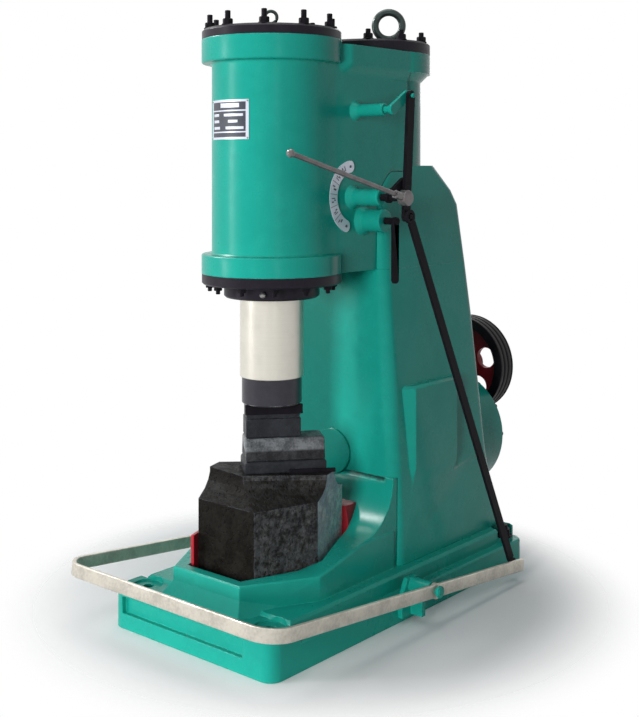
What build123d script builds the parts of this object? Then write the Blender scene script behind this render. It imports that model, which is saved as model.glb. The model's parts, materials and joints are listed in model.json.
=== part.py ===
from build123d import *
import math
import os

# Air forging hammer with its own compressor: lengths in millimetres.
# The origin is on the ground under the ram axis, +X is the control side,
# -Y is the operator's side and +Z is up.

# Fits and clearances
RUN = 0.05            # radial play of a pin or spindle in its bore
SEAT = 0.3            # play between pieces that move on each other
OPEN_PLAY = 4.0       # play at a pivot that is left open

# Base casting
BASE_HALF_W = 335.0
BASE_FRONT = -363.0
BASE_REAR = 976.0
BASE_H = 84.0
BASE_CORNER_R = 42.0
FOOT_H = 122.0
FOOT_LEN = 118.0
FOOT_BOLT_R = 17.0
FOOT_BOLT_INSET = 78.0
REAR_BOLT_INSET = 38.0
FOOT_SPOT_R = 46.0
DECK_H = 132.0
RECESS_DEPTH = 16.0
RECESS_LOW = 46.0
RECESS_HIGH = 98.0

# Pocket round the anvil
POCKET_FRONT = 255.0
POCKET_REAR = 268.0
POCKET_FRONT_HALF = 112.0
POCKET_MID_HALF = 206.0
POCKET_REAR_HALF = 125.0
COLLAR_WALL = 34.0
COLLAR_H = 205.0
COLLAR_REAR_H = 250.0
COLLAR_HALF_W = BASE_HALF_W - 73.0
COLLAR_CORNER_Y = -75.0
COLLAR_EDGE = 7.0
SKIRT_OUT = 46.0
SKIRT_H = 63.0
SKIRT_LOW = 100.0

# Anvil
ANVIL_END = 205.0
ANVIL_END_HALF = 118.0
ANVIL_MID_HALF = 190.0
ANVIL_SHOULDER = 395.0
ANVIL_NECK = 452.0
ANVIL_TOP = 467.0
NECK_CORNER_A = (-4.0, -126.0)
NECK_CORNER_B = (185.0, 49.0)
NECK_CORNER_C = (165.0, 110.0)
DIE_ANGLE = 50.0
PAD_TOP = 505.0
DIE_LINE = 572.0
PAD_HALF_W = 66.0
PAD_HALF_LEN = 128.0
PAD_SHIFT = 36.0
DIE_HALF_W = 50.0
WEDGE_REACH = 90.0
WEDGE_LEFT_H = 290.0
WEDGE_RIGHT_H = 326.0
WEDGE_TIP_X = 156.0
KEY_W = 11.0
KEY_H = 12.0

# Upper die and ram
UPPER_DIE_H = 103.0
UPPER_DIE_HALF_W = 44.0
UPPER_DIE_HALF_LEN = 86.0
SHANK_HALF_LEN = 84.0
SHANK_HALF_W = UPPER_DIE_HALF_W - KEY_W
SHANK_H = 44.0
RAM_R = 100.0
RAM_END_R = 94.0
RAM_END_H = 85.0
RAM_LEN = 700.0
RAM_BORE_R = 62.0
RAM_SOLID_LEN = 330.0

# Working cylinder on the ram axis
BARREL_R = 188.0
FLANGE_R = 220.0
BARREL_LOW = 1083.0
LOW_FLANGE_TOP = 1144.0
TOP_FLANGE_LOW = 1737.0
BARREL_TOP = 1811.0
COVER_H = 32.0
FLANGE_EDGE = 6.0
GLAND_R = 150.0
GLAND_H = 42.0
LOW_COVER_H = 33.0

# Compression cylinder behind it
REAR_Y = 503.0
REAR_BARREL_R = 175.0
REAR_FLANGE_R = 208.0
REAR_FLANGE_LOW = 1733.0
REAR_TOP = 1800.0
REAR_COVER_H = 40.0
REAR_LOW = 1290.0

# Valve chest between the cylinders
CHEST_HALF_W = 184.0
CHEST_FRONT = 40.0
CHEST_REAR = 470.0

# Column
COLUMN_FOOT_HALF = BASE_HALF_W - 71.0
COLUMN_TOP_HALF = COLUMN_FOOT_HALF - 49.0
COLUMN_FRONT = 300.0
COLUMN_TOP = 1083.0
CRANK_TOP = 1420.0
COLUMN_SECTIONS = [
    # height, half width, front, rear, corner radius
    (DECK_H, COLUMN_FOOT_HALF, COLUMN_FRONT, 946.0, 50.0),
    (250.0, COLUMN_FOOT_HALF - 3, COLUMN_FRONT, 912.0, 50.0),
    (416.0, COLUMN_FOOT_HALF - 7, COLUMN_FRONT, 868.0, 44.0),
    (894.0, COLUMN_TOP_HALF + 12, COLUMN_FRONT, 821.0, 40.0),
    (956.0, COLUMN_TOP_HALF + 8, COLUMN_FRONT, 813.0, 40.0),
    (COLUMN_TOP, COLUMN_TOP_HALF, COLUMN_FRONT, 797.0, 40.0),
]
HOUSING_SECTIONS = [
    (COLUMN_TOP, COLUMN_TOP_HALF, COLUMN_FRONT, 797.0, 40.0),
    (1284.0, COLUMN_TOP_HALF - 12, COLUMN_FRONT, 767.0, 40.0),
    (1334.0, COLUMN_TOP_HALF - 19, COLUMN_FRONT, 745.0, 50.0),
    (CRANK_TOP, COLUMN_TOP_HALF - 35, COLUMN_FRONT + 20, 680.0, 80.0),
]
BULGE_ROOT = COLUMN_FOOT_HALF - 84.0
BULGE_OUT = 30.0
BULGE_FADE = 80.0
BULGE_BEVEL = 36.0
BULGE_FRONT = 400.0
BULGE_REAR = 640.0
BULGE_LOW = 430.0
BULGE_TOP = 700.0
THROAT_R = 165.0
THROAT_HALF_W = COLUMN_FOOT_HALF - 12.0
THROAT_COVER_R = 75.0
THROAT_COVER_Z = 468.0
THROAT_COVER_T = 6.0

# Gear case, shaft and belt drive at the rear
GEAR_R = 212.0
GEAR_Z = 424.0
GEAR_CASE_REAR = 1040.0
GEAR_CASE_FRONT = 800.0
PINION_Z = 658.0
PINION_R = 96.0
HOUSING_R = 58.0
HOUSING_LEN = 24.0
SHAFT_R = 24.0
PULLEY_R = 183.0
PULLEY_W = 84.0
PULLEY_GAP = 6.0
PULLEY_Y = GEAR_CASE_REAR + HOUSING_LEN + PULLEY_GAP + PULLEY_W / 2
PULLEY_HUB_R = 50.0
RIM_INNER_R = 150.0
WEB_T = 22.0
WEB_HOLES = 5
WEB_HOLE_R = 38.0
WEB_HOLE_CIRCLE = 99.0
GROOVES = 3
GROOVE_PITCH = 26.0
GROOVE_DEPTH = 12.0
MOTOR_X = -BASE_HALF_W - 65.0
MOTOR_Z = 324.0
MOTOR_R = 124.0
MOTOR_SHAFT_H = 132.0
MOTOR_LEN = 410.0
MOTOR_REAR = PULLEY_Y - PULLEY_W / 2 - 45.0
MOTOR_FRONT = MOTOR_REAR - MOTOR_LEN
FIN_T = 3.5
FIN_H = 26.0
FIN_LEN = 240.0
FINS = 24
MOTOR_FOOT_X = 84.0
MOTOR_FOOT_HALF = 30.0
MOTOR_FOOT_LEN = 190.0
MOTOR_FOOT_T = 16.0
TERMINAL_BOX = (86.0, 100.0, 88.0)
MOTOR_SHAFT_R = 19.0
MOTOR_PULLEY_R = 55.0
BELT_T = 10.0
BELT_W = 15.0

# Treadle
TREADLE_HALF_W = 437.0
TREADLE_T = 13.0
TREADLE_H = 40.0
TREADLE_CORNER_R = 78.0
TREADLE_FRONT = -476.0
TREADLE_REAR = 790.0
LEFT_ARM_REAR = 316.0
PIVOT_Y = 268.0
PIVOT_Z = 110.0
PIVOT_PIN_R = 12.0
TREADLE_SLOPE = 5.9
ROD_PIN_Y = 768.0
ROD_PIN_R = 9.0
EYE_R = 24.0

# Valve gear on the control side
CONTROL_Y = 176.0
CONTROL_Z = 1320.0
UPPER_Y = 194.0
UPPER_Z = 1593.0
CRANK_DY = 73.0
CRANK_DZ = 45.0
SPINDLE_R = 11.0
SPINDLE_START = 212.0
BOSS_R = 26.0
UPPER_BOSS_R = 20.0
BOSS_END = 300.0
CRANK_X = 322.0
CRANK_T = 12.0
BAR_X = 338.0
BAR_T = 12.0
BAR_W = 32.0
BAR_BELOW = 105.0
LINK_PIN_R = 8.0
ROD_TOP_X = 354.0
ROD_BOTTOM_X = 414.0
ROD_W = 30.0
ROD_T = 10.0
HUB_X = 375.0
HUB_LEN = 30.0
HUB_R = 24.0
LEVER_R = 7.5
LEVER_LEN = 540.0
LEVER_RISE = 14.0
KNOB_R = 12.0
IDLE_Y = 232.0
IDLE_Z = 1245.0
IDLE_BOSS_R = 36.0
IDLE_BOSS_END = 272.0
HANDLE_X = 303.0
HANDLE_T = 13.0
HANDLE_LEN = 182.0
HANDLE_W = 26.0
SCALE_R = 116.0
SCALE_BAND = 38.0
SCALE_T = 3.0
PLATE_W = 116.0
PLATE_H = 128.0
PLATE_Z = 1560.0
PLATE_AZIMUTH = -37.0
PLATE_T = 2.0

# Studs and eyes
STUD_R = 9.0
NUT_R = 16.0
NUT_H = 16.0
STUD_REACH = 44.0
LOW_NUT_R = 13.0
COVER_STUDS = 10
STUD_CIRCLE = 196.0
REAR_STUD_CIRCLE = 186.0
LOW_NUTS = 12
LOW_NUT_CIRCLE = 194.0
LIFT_RING_R = 47.0
LIFT_RING_T = 12.5
SMALL_RING_R = 18.7
SMALL_RING_T = 5.2

COVER_TOP = BARREL_TOP + COVER_H
REAR_COVER_TOP = REAR_TOP + REAR_COVER_H
LOW_COVER_LOW = BARREL_LOW - LOW_COVER_H
GLAND_LOW = LOW_COVER_LOW - GLAND_H
RAM_LOW = DIE_LINE + SEAT + UPPER_DIE_H
CHEST_LOW = BARREL_LOW
VALVE_BOSSES = [
    # across, up, radius, outer end
    (CONTROL_Y, CONTROL_Z, BOSS_R, BOSS_END),
    (UPPER_Y, UPPER_Z, UPPER_BOSS_R, BOSS_END),
    (IDLE_Y, IDLE_Z, IDLE_BOSS_R, IDLE_BOSS_END),
]


def rod(radius, length, start, direction):
    """A round bar from a start point along a direction."""
    return Plane(origin=start, z_dir=direction) * Cylinder(
        radius, length, align=(Align.CENTER, Align.CENTER, Align.MIN))


def upright(radius, low, high, x=0.0, y=0.0):
    """A round bar that stands between two heights."""
    return rod(radius, high - low, (x, y, low), (0, 0, 1))


def block(x0, x1, y0, y1, z0, z1):
    """A box between pairs of coordinates."""
    return Pos((x0 + x1) / 2, (y0 + y1) / 2, (z0 + z1) / 2) * Box(x1 - x0, y1 - y0, z1 - z0)


def prism(points, low, high):
    """A flat outline carried up between two heights."""
    face = make_face(Polyline(*points, close=True))
    return Pos(0, 0, low) * extrude(face, high - low)


def side_profile(points, x0, x1):
    """An outline of (y, z) points carried along X."""
    face = Plane.YZ.offset(x0) * make_face(Polyline(*points, close=True))
    return extrude(face, x1 - x0)


def hexagon_bar(across, low, high, x, y):
    """A nut: a six-sided bar between two heights."""
    return Pos(x, y, low) * extrude(RegularPolygon(across, 6), high - low)


def turned_block(half_len, half_w, low, high, shift=0.0):
    """A block whose length lies along the dies' own direction."""
    return Rot(0, 0, DIE_ANGLE) * block(shift - half_len, shift + half_len, -half_w, half_w, low, high)


def circle_places(count, circle, phase, centre_y=0.0):
    """Points evenly spaced round a circle."""
    angles = [math.radians(phase + index * 360.0 / count) for index in range(count)]
    return [(circle * math.cos(angle), centre_y + circle * math.sin(angle)) for angle in angles]


def hexagon_points(front, rear, front_half, mid_half, rear_half):
    """The six corners of the anvil or its pocket."""
    return [
        (front_half, -front),
        (mid_half, 0.0),
        (rear_half, rear),
        (-rear_half, rear),
        (-mid_half, 0.0),
        (-front_half, -front),
    ]


def pocket_points(extra=0.0):
    """The pocket's corners, moved out by a wall."""
    return hexagon_points(POCKET_FRONT + extra, POCKET_REAR + extra, POCKET_FRONT_HALF + extra * 0.8,
                          POCKET_MID_HALF + extra, POCKET_REAR_HALF + extra * 0.8)


def anvil_points():
    return hexagon_points(ANVIL_END, ANVIL_END, ANVIL_END_HALF, ANVIL_MID_HALF, ANVIL_END_HALF)


def foot_places():
    """Centres of the four foundation bolts."""
    front = BASE_FRONT + FOOT_BOLT_INSET
    rear = BASE_REAR - FOOT_BOLT_INSET
    front_x = BASE_HALF_W - FOOT_BOLT_INSET
    rear_x = BASE_HALF_W - REAR_BOLT_INSET
    return [(-front_x, front), (-rear_x, rear), (front_x, front), (rear_x, rear)]


def base_casting():
    """Base plate with raised front bar, deck, pocket collar and throat sweep."""
    depth = BASE_REAR - BASE_FRONT
    middle = (BASE_REAR + BASE_FRONT) / 2
    plan = Pos(0, middle, 0) * RectangleRounded(2 * BASE_HALF_W, depth, BASE_CORNER_R)
    plate = extrude(plan, BASE_H)
    plate = chamfer(plate.edges().group_by(Axis.Z)[-1], 5)
    front_plan = plan & (Pos(0, BASE_FRONT + FOOT_LEN / 2, 0) * Rectangle(2 * BASE_HALF_W, FOOT_LEN))
    front_bar = extrude(front_plan, FOOT_H)
    front_bar = chamfer(front_bar.edges().group_by(Axis.Z)[-1], 6)
    deck = block(-BASE_HALF_W + 34, BASE_HALF_W - 34, BASE_FRONT + FOOT_LEN - 4, BASE_REAR - 22, 0, DECK_H)
    deck = chamfer(deck.edges().group_by(Axis.Z)[-1], 8)
    flare = loft([
        Pos(0, 0, SKIRT_LOW) * make_face(Polyline(*pocket_points(COLLAR_WALL + SKIRT_OUT), close=True)),
        Pos(0, 0, SKIRT_LOW + SKIRT_H) * make_face(Polyline(*pocket_points(COLLAR_WALL), close=True)),
    ], ruled=True)
    corner_y = COLUMN_FRONT - THROAT_R
    with_arc = Plane.YZ.offset(-THROAT_HALF_W) * make_face(Curve() + [
        Line((COLUMN_FRONT + 60, DECK_H), (corner_y, DECK_H)),
        Line((corner_y, DECK_H), (corner_y, COLLAR_REAR_H)),
        RadiusArc((corner_y, COLLAR_REAR_H), (COLUMN_FRONT, COLLAR_REAR_H + THROAT_R), -THROAT_R),
        Line((COLUMN_FRONT, COLLAR_REAR_H + THROAT_R), (COLUMN_FRONT + 60, COLLAR_REAR_H + THROAT_R)),
        Line((COLUMN_FRONT + 60, COLLAR_REAR_H + THROAT_R), (COLUMN_FRONT + 60, DECK_H)),
    ])
    throat = extrude(with_arc, 2 * THROAT_HALF_W)
    throat = throat & throat_envelope()
    throat = throat - rod(THROAT_COVER_R + 1, 60, (0, COLUMN_FRONT - 60, THROAT_COVER_Z), (0, 1, 0))
    body = plate + front_bar + deck + collar() + flare + throat
    body = body - prism(pocket_points(), -1, COLLAR_REAR_H + THROAT_R + 60)
    body = body - column_casting_outline()
    body = body - block(-BASE_HALF_W + 46, BASE_HALF_W - 112, BASE_FRONT - 1, BASE_FRONT + RECESS_DEPTH,
                        RECESS_LOW, RECESS_HIGH)
    for x, y in foot_places():
        body = body - upright(FOOT_BOLT_R, -1, DECK_H + 20, x, y)
    for x, y in foot_places()[0::2]:
        body = body - upright(FOOT_SPOT_R, FOOT_H - 6, FOOT_H + 40, x, y)
    for x, y in foot_places()[1::2]:
        body = body - upright(FOOT_SPOT_R, BASE_H + 14, DECK_H + 40, x, y)
    for side in (-1, 1):
        body = body - bracket_seat(side)
    return body


def collar():
    """Wall round the pocket: it widens to the column and rises to meet the throat sweep."""
    corners = [
        (POCKET_FRONT_HALF + COLLAR_WALL * 0.8, -POCKET_FRONT - COLLAR_WALL),
        (COLLAR_HALF_W, COLLAR_CORNER_Y),
        (THROAT_HALF_W + 4, COLUMN_FRONT),
    ]
    outline = corners + [(-x, y) for x, y in reversed(corners)]
    body = prism(outline, 0, COLLAR_REAR_H)
    front = -POCKET_FRONT - 2 * COLLAR_WALL
    above = side_profile([
        (front, COLLAR_H),
        (COLLAR_CORNER_Y, COLLAR_H),
        (COLUMN_FRONT - THROAT_R, COLLAR_REAR_H),
        (COLUMN_FRONT - THROAT_R, 2 * COLLAR_REAR_H),
        (front, 2 * COLLAR_REAR_H),
    ], -BASE_HALF_W, BASE_HALF_W)
    body = body - above
    rim = [e for e in body.edges() if e.center().Z > COLLAR_H - 1 and abs(e.tangent_at(0).Z) < 0.5
           and abs(e.center().X) > 1]
    front_rim = [e for e in body.edges() if abs(e.center().X) < 1 and e.center().Z > COLLAR_H - 1
                 and e.center().Y < COLLAR_CORNER_Y - 1]
    return fillet(rim + front_rim, COLLAR_EDGE)


def throat_envelope():
    """Where the throat sweep may reach: it narrows down to the collar."""
    top = COLLAR_REAR_H + THROAT_R
    half = THROAT_HALF_W
    low_half = half - 12
    wide = [(-half, COLUMN_FRONT + 60), (half, COLUMN_FRONT + 60), (half, 200), (low_half, 60), (-low_half, 60),
            (-half, 200)]
    return prism(wide, DECK_H, top + 1)


def bracket_seat(side):
    """Flat milled on the base side where a treadle bracket sits."""
    x = side * (BASE_HALF_W + 20)
    return Pos(x, PIVOT_Y, 48) * Box(40, 110, 60)


def tapered_column(sections):
    """Rounded rectangles at several heights joined by straight walls."""
    faces = []
    for height, half, front, rear, corner in sections:
        faces.append(Pos(0, (front + rear) / 2, height) * RectangleRounded(2 * half, rear - front, corner))
    return loft(faces, ruled=True)


def column_casting_outline():
    return tapered_column(COLUMN_SECTIONS)


def crank_bulge(side):
    """Upright swelling of the column wall over the crank chamber, fading out below."""
    wall = COLUMN_FOOT_HALF - 24

    def plan(out):
        return [
            (BULGE_ROOT, BULGE_FRONT - BULGE_BEVEL),
            (wall, BULGE_FRONT - BULGE_BEVEL),
            (wall + out, BULGE_FRONT),
            (wall + out, BULGE_REAR),
            (wall, BULGE_REAR + BULGE_BEVEL),
            (BULGE_ROOT, BULGE_REAR + BULGE_BEVEL),
        ]

    body = prism(plan(BULGE_OUT), BULGE_LOW, BULGE_TOP)
    top = [e for e in body.faces().sort_by(Axis.Z)[-1].edges() if e.center().X > wall + 1]
    body = chamfer(top, 9)
    fade = loft([
        Pos(0, 0, BULGE_LOW - BULGE_FADE) * make_face(Polyline(*plan(0.4 * BULGE_OUT), close=True)),
        Pos(0, 0, BULGE_LOW) * make_face(Polyline(*plan(BULGE_OUT), close=True)),
    ], ruled=True)
    body = body + fade
    return body if side > 0 else mirror(body, about=Plane.YZ)


def column_casting():
    """Column from the deck to the cylinders, hollow cast in the real hammer."""
    return column_casting_outline() + crank_bulge(-1) + crank_bulge(1)


def cylinder_housing():
    """Casting above the column that carries both cylinders."""
    body = tapered_column(HOUSING_SECTIONS)
    return body - upright(REAR_BARREL_R, REAR_LOW, REAR_TOP, 0, REAR_Y)


def barrel_outline():
    """Outside of the front barrel with its two flanges."""
    body = upright(BARREL_R, BARREL_LOW, BARREL_TOP)
    low = upright(FLANGE_R, BARREL_LOW, LOW_FLANGE_TOP)
    low = fillet(low.edges().group_by(Axis.Z)[-1], FLANGE_EDGE)
    top = upright(FLANGE_R, TOP_FLANGE_LOW, BARREL_TOP)
    top = fillet(top.edges().group_by(Axis.Z)[0], FLANGE_EDGE)
    body = body + low + top
    root = body.edges().filter_by(GeomType.CIRCLE).filter_by(lambda e: abs(e.radius - BARREL_R) < 0.1)
    return fillet(root, 9)


def working_cylinder():
    """Front barrel with two flanges and a through bore."""
    return barrel_outline() - upright(RAM_R + SEAT, BARREL_LOW - 1, BARREL_TOP + 1)


def compression_cylinder():
    """Rear barrel with a top flange carried on a cove."""
    body = upright(REAR_BARREL_R, REAR_LOW, REAR_TOP, 0, REAR_Y)
    flange = upright(REAR_FLANGE_R, REAR_FLANGE_LOW, REAR_TOP, 0, REAR_Y)
    cone = Pos(0, REAR_Y, REAR_FLANGE_LOW - 14) * Cone(REAR_BARREL_R, REAR_FLANGE_R - 5, 28)
    body = body + flange + cone
    return body - upright(FLANGE_R, TOP_FLANGE_LOW - 1, BARREL_TOP + 1)


def valve_chest():
    """Wall between the cylinders with the bosses of the three valve spindles."""
    body = block(-CHEST_HALF_W, CHEST_HALF_W, CHEST_FRONT, CHEST_REAR, CHEST_LOW, REAR_TOP)
    body = fillet(body.edges().filter_by(Axis.Z).group_by(Axis.Y)[0], 30)
    for y, z, radius, end in VALVE_BOSSES:
        boss = rod(radius, end - 120, (120, y, z), (1, 0, 0))
        boss = fillet(boss.edges().sort_by(Axis.X)[-1], 4)
        foot = Plane(origin=(CHEST_HALF_W - 2, y, z), z_dir=(1, 0, 0)) * Cone(
            radius + 14, radius, 20, align=(Align.CENTER, Align.CENTER, Align.MIN))
        body = body + boss + foot
    body = body - barrel_outline()
    body = body - upright(FLANGE_R, BARREL_TOP - 1, max(BARREL_TOP, REAR_TOP) + 1)
    body = body - upright(REAR_BARREL_R, CHEST_LOW - 1, REAR_TOP + 1, 0, REAR_Y)
    body = body - upright(REAR_FLANGE_R + 1, REAR_FLANGE_LOW - 30, REAR_TOP + 1, 0, REAR_Y)
    body = body - tapered_column(HOUSING_SECTIONS)
    for y, z, _, end in VALVE_BOSSES:
        body = body - rod(SPINDLE_R + RUN, end, (SPINDLE_START - 1, y, z), (1, 0, 0))
    return body


def disc_cover(radius, low, high, x, y):
    """A round cover with a bevelled upper edge."""
    disc = upright(radius, low, high, x, y)
    return chamfer(disc.edges().group_by(Axis.Z)[-1], 7)


def front_cover():
    cover = disc_cover(FLANGE_R - 1, BARREL_TOP, COVER_TOP, 0, 0)
    spigot = upright(RAM_R, BARREL_TOP - 24, BARREL_TOP + 1)
    return cover + spigot


def rear_cover():
    cover = disc_cover(REAR_FLANGE_R, REAR_TOP, REAR_COVER_TOP, 0, REAR_Y)
    return cover - upright(FLANGE_R + 1, REAR_TOP - 1, REAR_COVER_TOP + 1)


def bottom_cover():
    """Lower cover and gland that guide the ram."""
    cover = upright(FLANGE_R - 1, LOW_COVER_LOW, BARREL_LOW)
    cover = chamfer(cover.edges().group_by(Axis.Z)[0], 5)
    gland = upright(GLAND_R, GLAND_LOW, LOW_COVER_LOW + 1)
    gland = chamfer(gland.edges().group_by(Axis.Z)[0], 6)
    body = cover + gland
    return body - upright(RAM_R + RUN, GLAND_LOW - 1, BARREL_LOW + 1)


def stud_and_nut(low, reach, x, y):
    """A stud with its nut, standing on a cover."""
    return hexagon_bar(NUT_R, low, low + NUT_H, x, y) + upright(STUD_R, low, low + reach, x, y)


def front_cover_studs():
    places = circle_places(COVER_STUDS, STUD_CIRCLE, 18)
    return Compound(children=[stud_and_nut(COVER_TOP, STUD_REACH, x, y) for x, y in places])


def rear_cover_studs():
    """Studs of the rear cover, but none where the front flange cuts into it."""
    places = circle_places(COVER_STUDS, REAR_STUD_CIRCLE, 18, REAR_Y)
    clear = FLANGE_R + NUT_R + 5
    return Compound(children=[stud_and_nut(REAR_COVER_TOP, STUD_REACH - 10, x, y) for x, y in places
                              if math.hypot(x, y) > clear])


def bottom_cover_nuts():
    low = LOW_COVER_LOW - LOW_NUT_R
    nuts = [hexagon_bar(LOW_NUT_R, low, LOW_COVER_LOW, x, y) + upright(7, low - 11, LOW_COVER_LOW, x, y)
            for x, y in circle_places(LOW_NUTS, LOW_NUT_CIRCLE, 15)]
    return Compound(children=nuts)


def eye_bolt(ring_r, ring_t, seat_z, x, y, facing):
    """A ring on a collar that stands on a cover."""
    centre = seat_z + ring_r + ring_t + 6
    section = Plane.XZ * Pos(ring_r, 0) * Circle(ring_t)
    ring = Pos(x, y, centre) * Rot(0, 0, math.degrees(facing)) * Rot(0, 90, 0) * revolve(section, Axis.Z)
    collar = upright(ring_t * 2.1, seat_z, seat_z + 9, x, y)
    neck = upright(ring_t * 1.35, seat_z, centre - ring_r, x, y)
    return collar + neck + ring


def front_eye_bolt():
    return eye_bolt(SMALL_RING_R, SMALL_RING_T, COVER_TOP, 62, -72, math.radians(-50))


def lifting_eye():
    return eye_bolt(LIFT_RING_R, LIFT_RING_T, REAR_COVER_TOP, 50, 545, math.radians(-50))


def gland_plug():
    """Oil plug on the front of the gland."""
    angle = math.radians(-57)
    direction = (math.cos(angle), math.sin(angle), 0)
    z = GLAND_LOW + GLAND_H / 2
    start = ((GLAND_R - 1) * direction[0], (GLAND_R - 1) * direction[1], z)
    pin = rod(6, 14, start, direction)
    tip = tuple(start[i] + 16 * direction[i] for i in range(3))
    ball = Pos(*tip) * Sphere(9)
    return (pin + ball) - upright(GLAND_R, GLAND_LOW, LOW_COVER_LOW)


def throat_cover():
    disc = rod(THROAT_COVER_R, THROAT_COVER_T, (0, COLUMN_FRONT - THROAT_COVER_T, THROAT_COVER_Z), (0, 1, 0))
    return chamfer(disc.edges().sort_by(Axis.Y)[0], 2)


def nameplate():
    """Plain plate bent round the front of the working cylinder."""
    ring = upright(BARREL_R + PLATE_T, PLATE_Z - PLATE_H / 2, PLATE_Z + PLATE_H / 2)
    ring = ring - upright(BARREL_R, PLATE_Z - PLATE_H, PLATE_Z + PLATE_H)
    window = Pos(BARREL_R, 0, PLATE_Z) * Box(BARREL_R, PLATE_W, PLATE_H + 20)
    return ring & (Rot(0, 0, PLATE_AZIMUTH - 53) * window)


def scale_plate():
    """Arc plate behind the hand lever, centred on its spindle."""
    x = CHEST_HALF_W
    disc = rod(SCALE_R, SCALE_T, (x, CONTROL_Y, CONTROL_Z), (1, 0, 0))
    disc = disc - rod(SCALE_R - SCALE_BAND, SCALE_T + 2, (x - 1, CONTROL_Y, CONTROL_Z), (1, 0, 0))
    disc = disc & block(x - 1, x + SCALE_T + 1, CONTROL_Y - SCALE_R - 1, CONTROL_Y - 8, CONTROL_Z - 200,
                        CONTROL_Z + 200)
    return disc


def anvil_block():
    """Anvil: six-sided block that draws in to the slanted neck."""
    foot = anvil_points()
    half_neck = [NECK_CORNER_A, NECK_CORNER_B, NECK_CORNER_C]
    neck = half_neck + [(-x, -y) for x, y in half_neck]

    def between(share):
        return [(p[0] + (q[0] - p[0]) * share, p[1] + (q[1] - p[1]) * share) for p, q in zip(foot, neck)]

    def level(points, z):
        return Pos(0, 0, z) * make_face(Polyline(*points, close=True))

    lower = prism(foot, 0, ANVIL_SHOULDER)
    flare = loft([
        level(foot, ANVIL_SHOULDER),
        level(between(0.55), ANVIL_SHOULDER + 17),
        level(between(0.85), ANVIL_SHOULDER + 36),
        level(neck, ANVIL_NECK),
    ], ruled=True)
    top = prism(neck, ANVIL_NECK, ANVIL_TOP)
    return lower + flare + top


def packing_wedge(edge, start, end, top):
    """Wedge driven between one side of the anvil and its pocket."""
    corners = anvil_points()
    first = Vector(*corners[edge])
    along = Vector(*corners[edge + 1]) - first
    out = Vector(along.Y, -along.X).normalized()
    near = first + along * start + out * SEAT
    far = first + along * end + out * SEAT
    strip = [near, near + out * WEDGE_REACH, far + out * WEDGE_REACH, far]
    body = prism([(p.X, p.Y) for p in strip], 0, top)
    return body & prism(pocket_points(-SEAT), 0, top)


def packing_wedge_left():
    return packing_wedge(4, 0.4, 1.14, WEDGE_LEFT_H)


def packing_wedge_right():
    """The taller wedge, behind the anvil, whose outer end slopes."""
    body = packing_wedge(2, -0.12, 0.3, WEDGE_RIGHT_H)
    slope = Plane(origin=(WEDGE_TIP_X, POCKET_REAR, COLLAR_H), z_dir=(1, 0, 0.2))
    return body - slope * Pos(0, 0, WEDGE_REACH / 2) * Box(4 * WEDGE_REACH, 4 * WEDGE_REACH, WEDGE_REACH)


def anvil_pad():
    """Sow block keyed on the anvil, with a slot for the die."""
    body = turned_block(PAD_HALF_LEN, PAD_HALF_W, ANVIL_TOP, PAD_TOP, PAD_SHIFT)
    body = chamfer(body.edges().group_by(Axis.Z)[-1], 6)
    return body


def lower_die():
    """Die with sloping shoulders on the sow block."""
    outline = [
        (-PAD_HALF_W + 5, PAD_TOP),
        (PAD_HALF_W - 5, PAD_TOP),
        (DIE_HALF_W + 8, PAD_TOP + 30),
        (DIE_HALF_W, DIE_LINE - 6),
        (DIE_HALF_W - 6, DIE_LINE),
        (-DIE_HALF_W + 6, DIE_LINE),
        (-DIE_HALF_W, DIE_LINE - 6),
        (-DIE_HALF_W - 8, PAD_TOP + 30),
    ]
    bar = side_profile(outline, PAD_SHIFT - PAD_HALF_LEN + 4, PAD_SHIFT + PAD_HALF_LEN - 4)
    return Rot(0, 0, DIE_ANGLE) * bar


def pad_key():
    """Drift key whose head shows beside the sow block."""
    key = block(PAD_SHIFT + 10, PAD_SHIFT + PAD_HALF_LEN + 26, -PAD_HALF_W - KEY_W, -PAD_HALF_W, ANVIL_TOP,
                ANVIL_TOP + KEY_H)
    return Rot(0, 0, DIE_ANGLE) * key


def upper_die():
    """Narrow die with the shank that the key holds in the ram."""
    low = DIE_LINE + SEAT
    blade = turned_block(UPPER_DIE_HALF_LEN, UPPER_DIE_HALF_W, low, low + UPPER_DIE_H - SHANK_H)
    blade = chamfer(blade.edges().group_by(Axis.Z)[0], 4)
    shank = turned_block(SHANK_HALF_LEN, SHANK_HALF_W, low + UPPER_DIE_H - SHANK_H, low + UPPER_DIE_H)
    return blade + shank


def upper_die_key():
    """Taper key driven beside the shank, under the ram."""
    top = DIE_LINE + SEAT + UPPER_DIE_H
    key = block(-SHANK_HALF_LEN - 4, SHANK_HALF_LEN + 8, -SHANK_HALF_W - KEY_W, -SHANK_HALF_W, top - 30, top)
    return Rot(0, 0, DIE_ANGLE) * key


def ram():
    """Ram in one piece with its piston, bored out from above."""
    low = upright(RAM_END_R, RAM_LOW, RAM_LOW + RAM_END_H)
    low = chamfer(low.edges().group_by(Axis.Z)[0], 4)
    shaft = upright(RAM_R, RAM_LOW + RAM_END_H, RAM_LOW + RAM_LEN)
    return low + shaft - upright(RAM_BORE_R, RAM_LOW + RAM_SOLID_LEN, RAM_LOW + RAM_LEN + 1)


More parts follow.
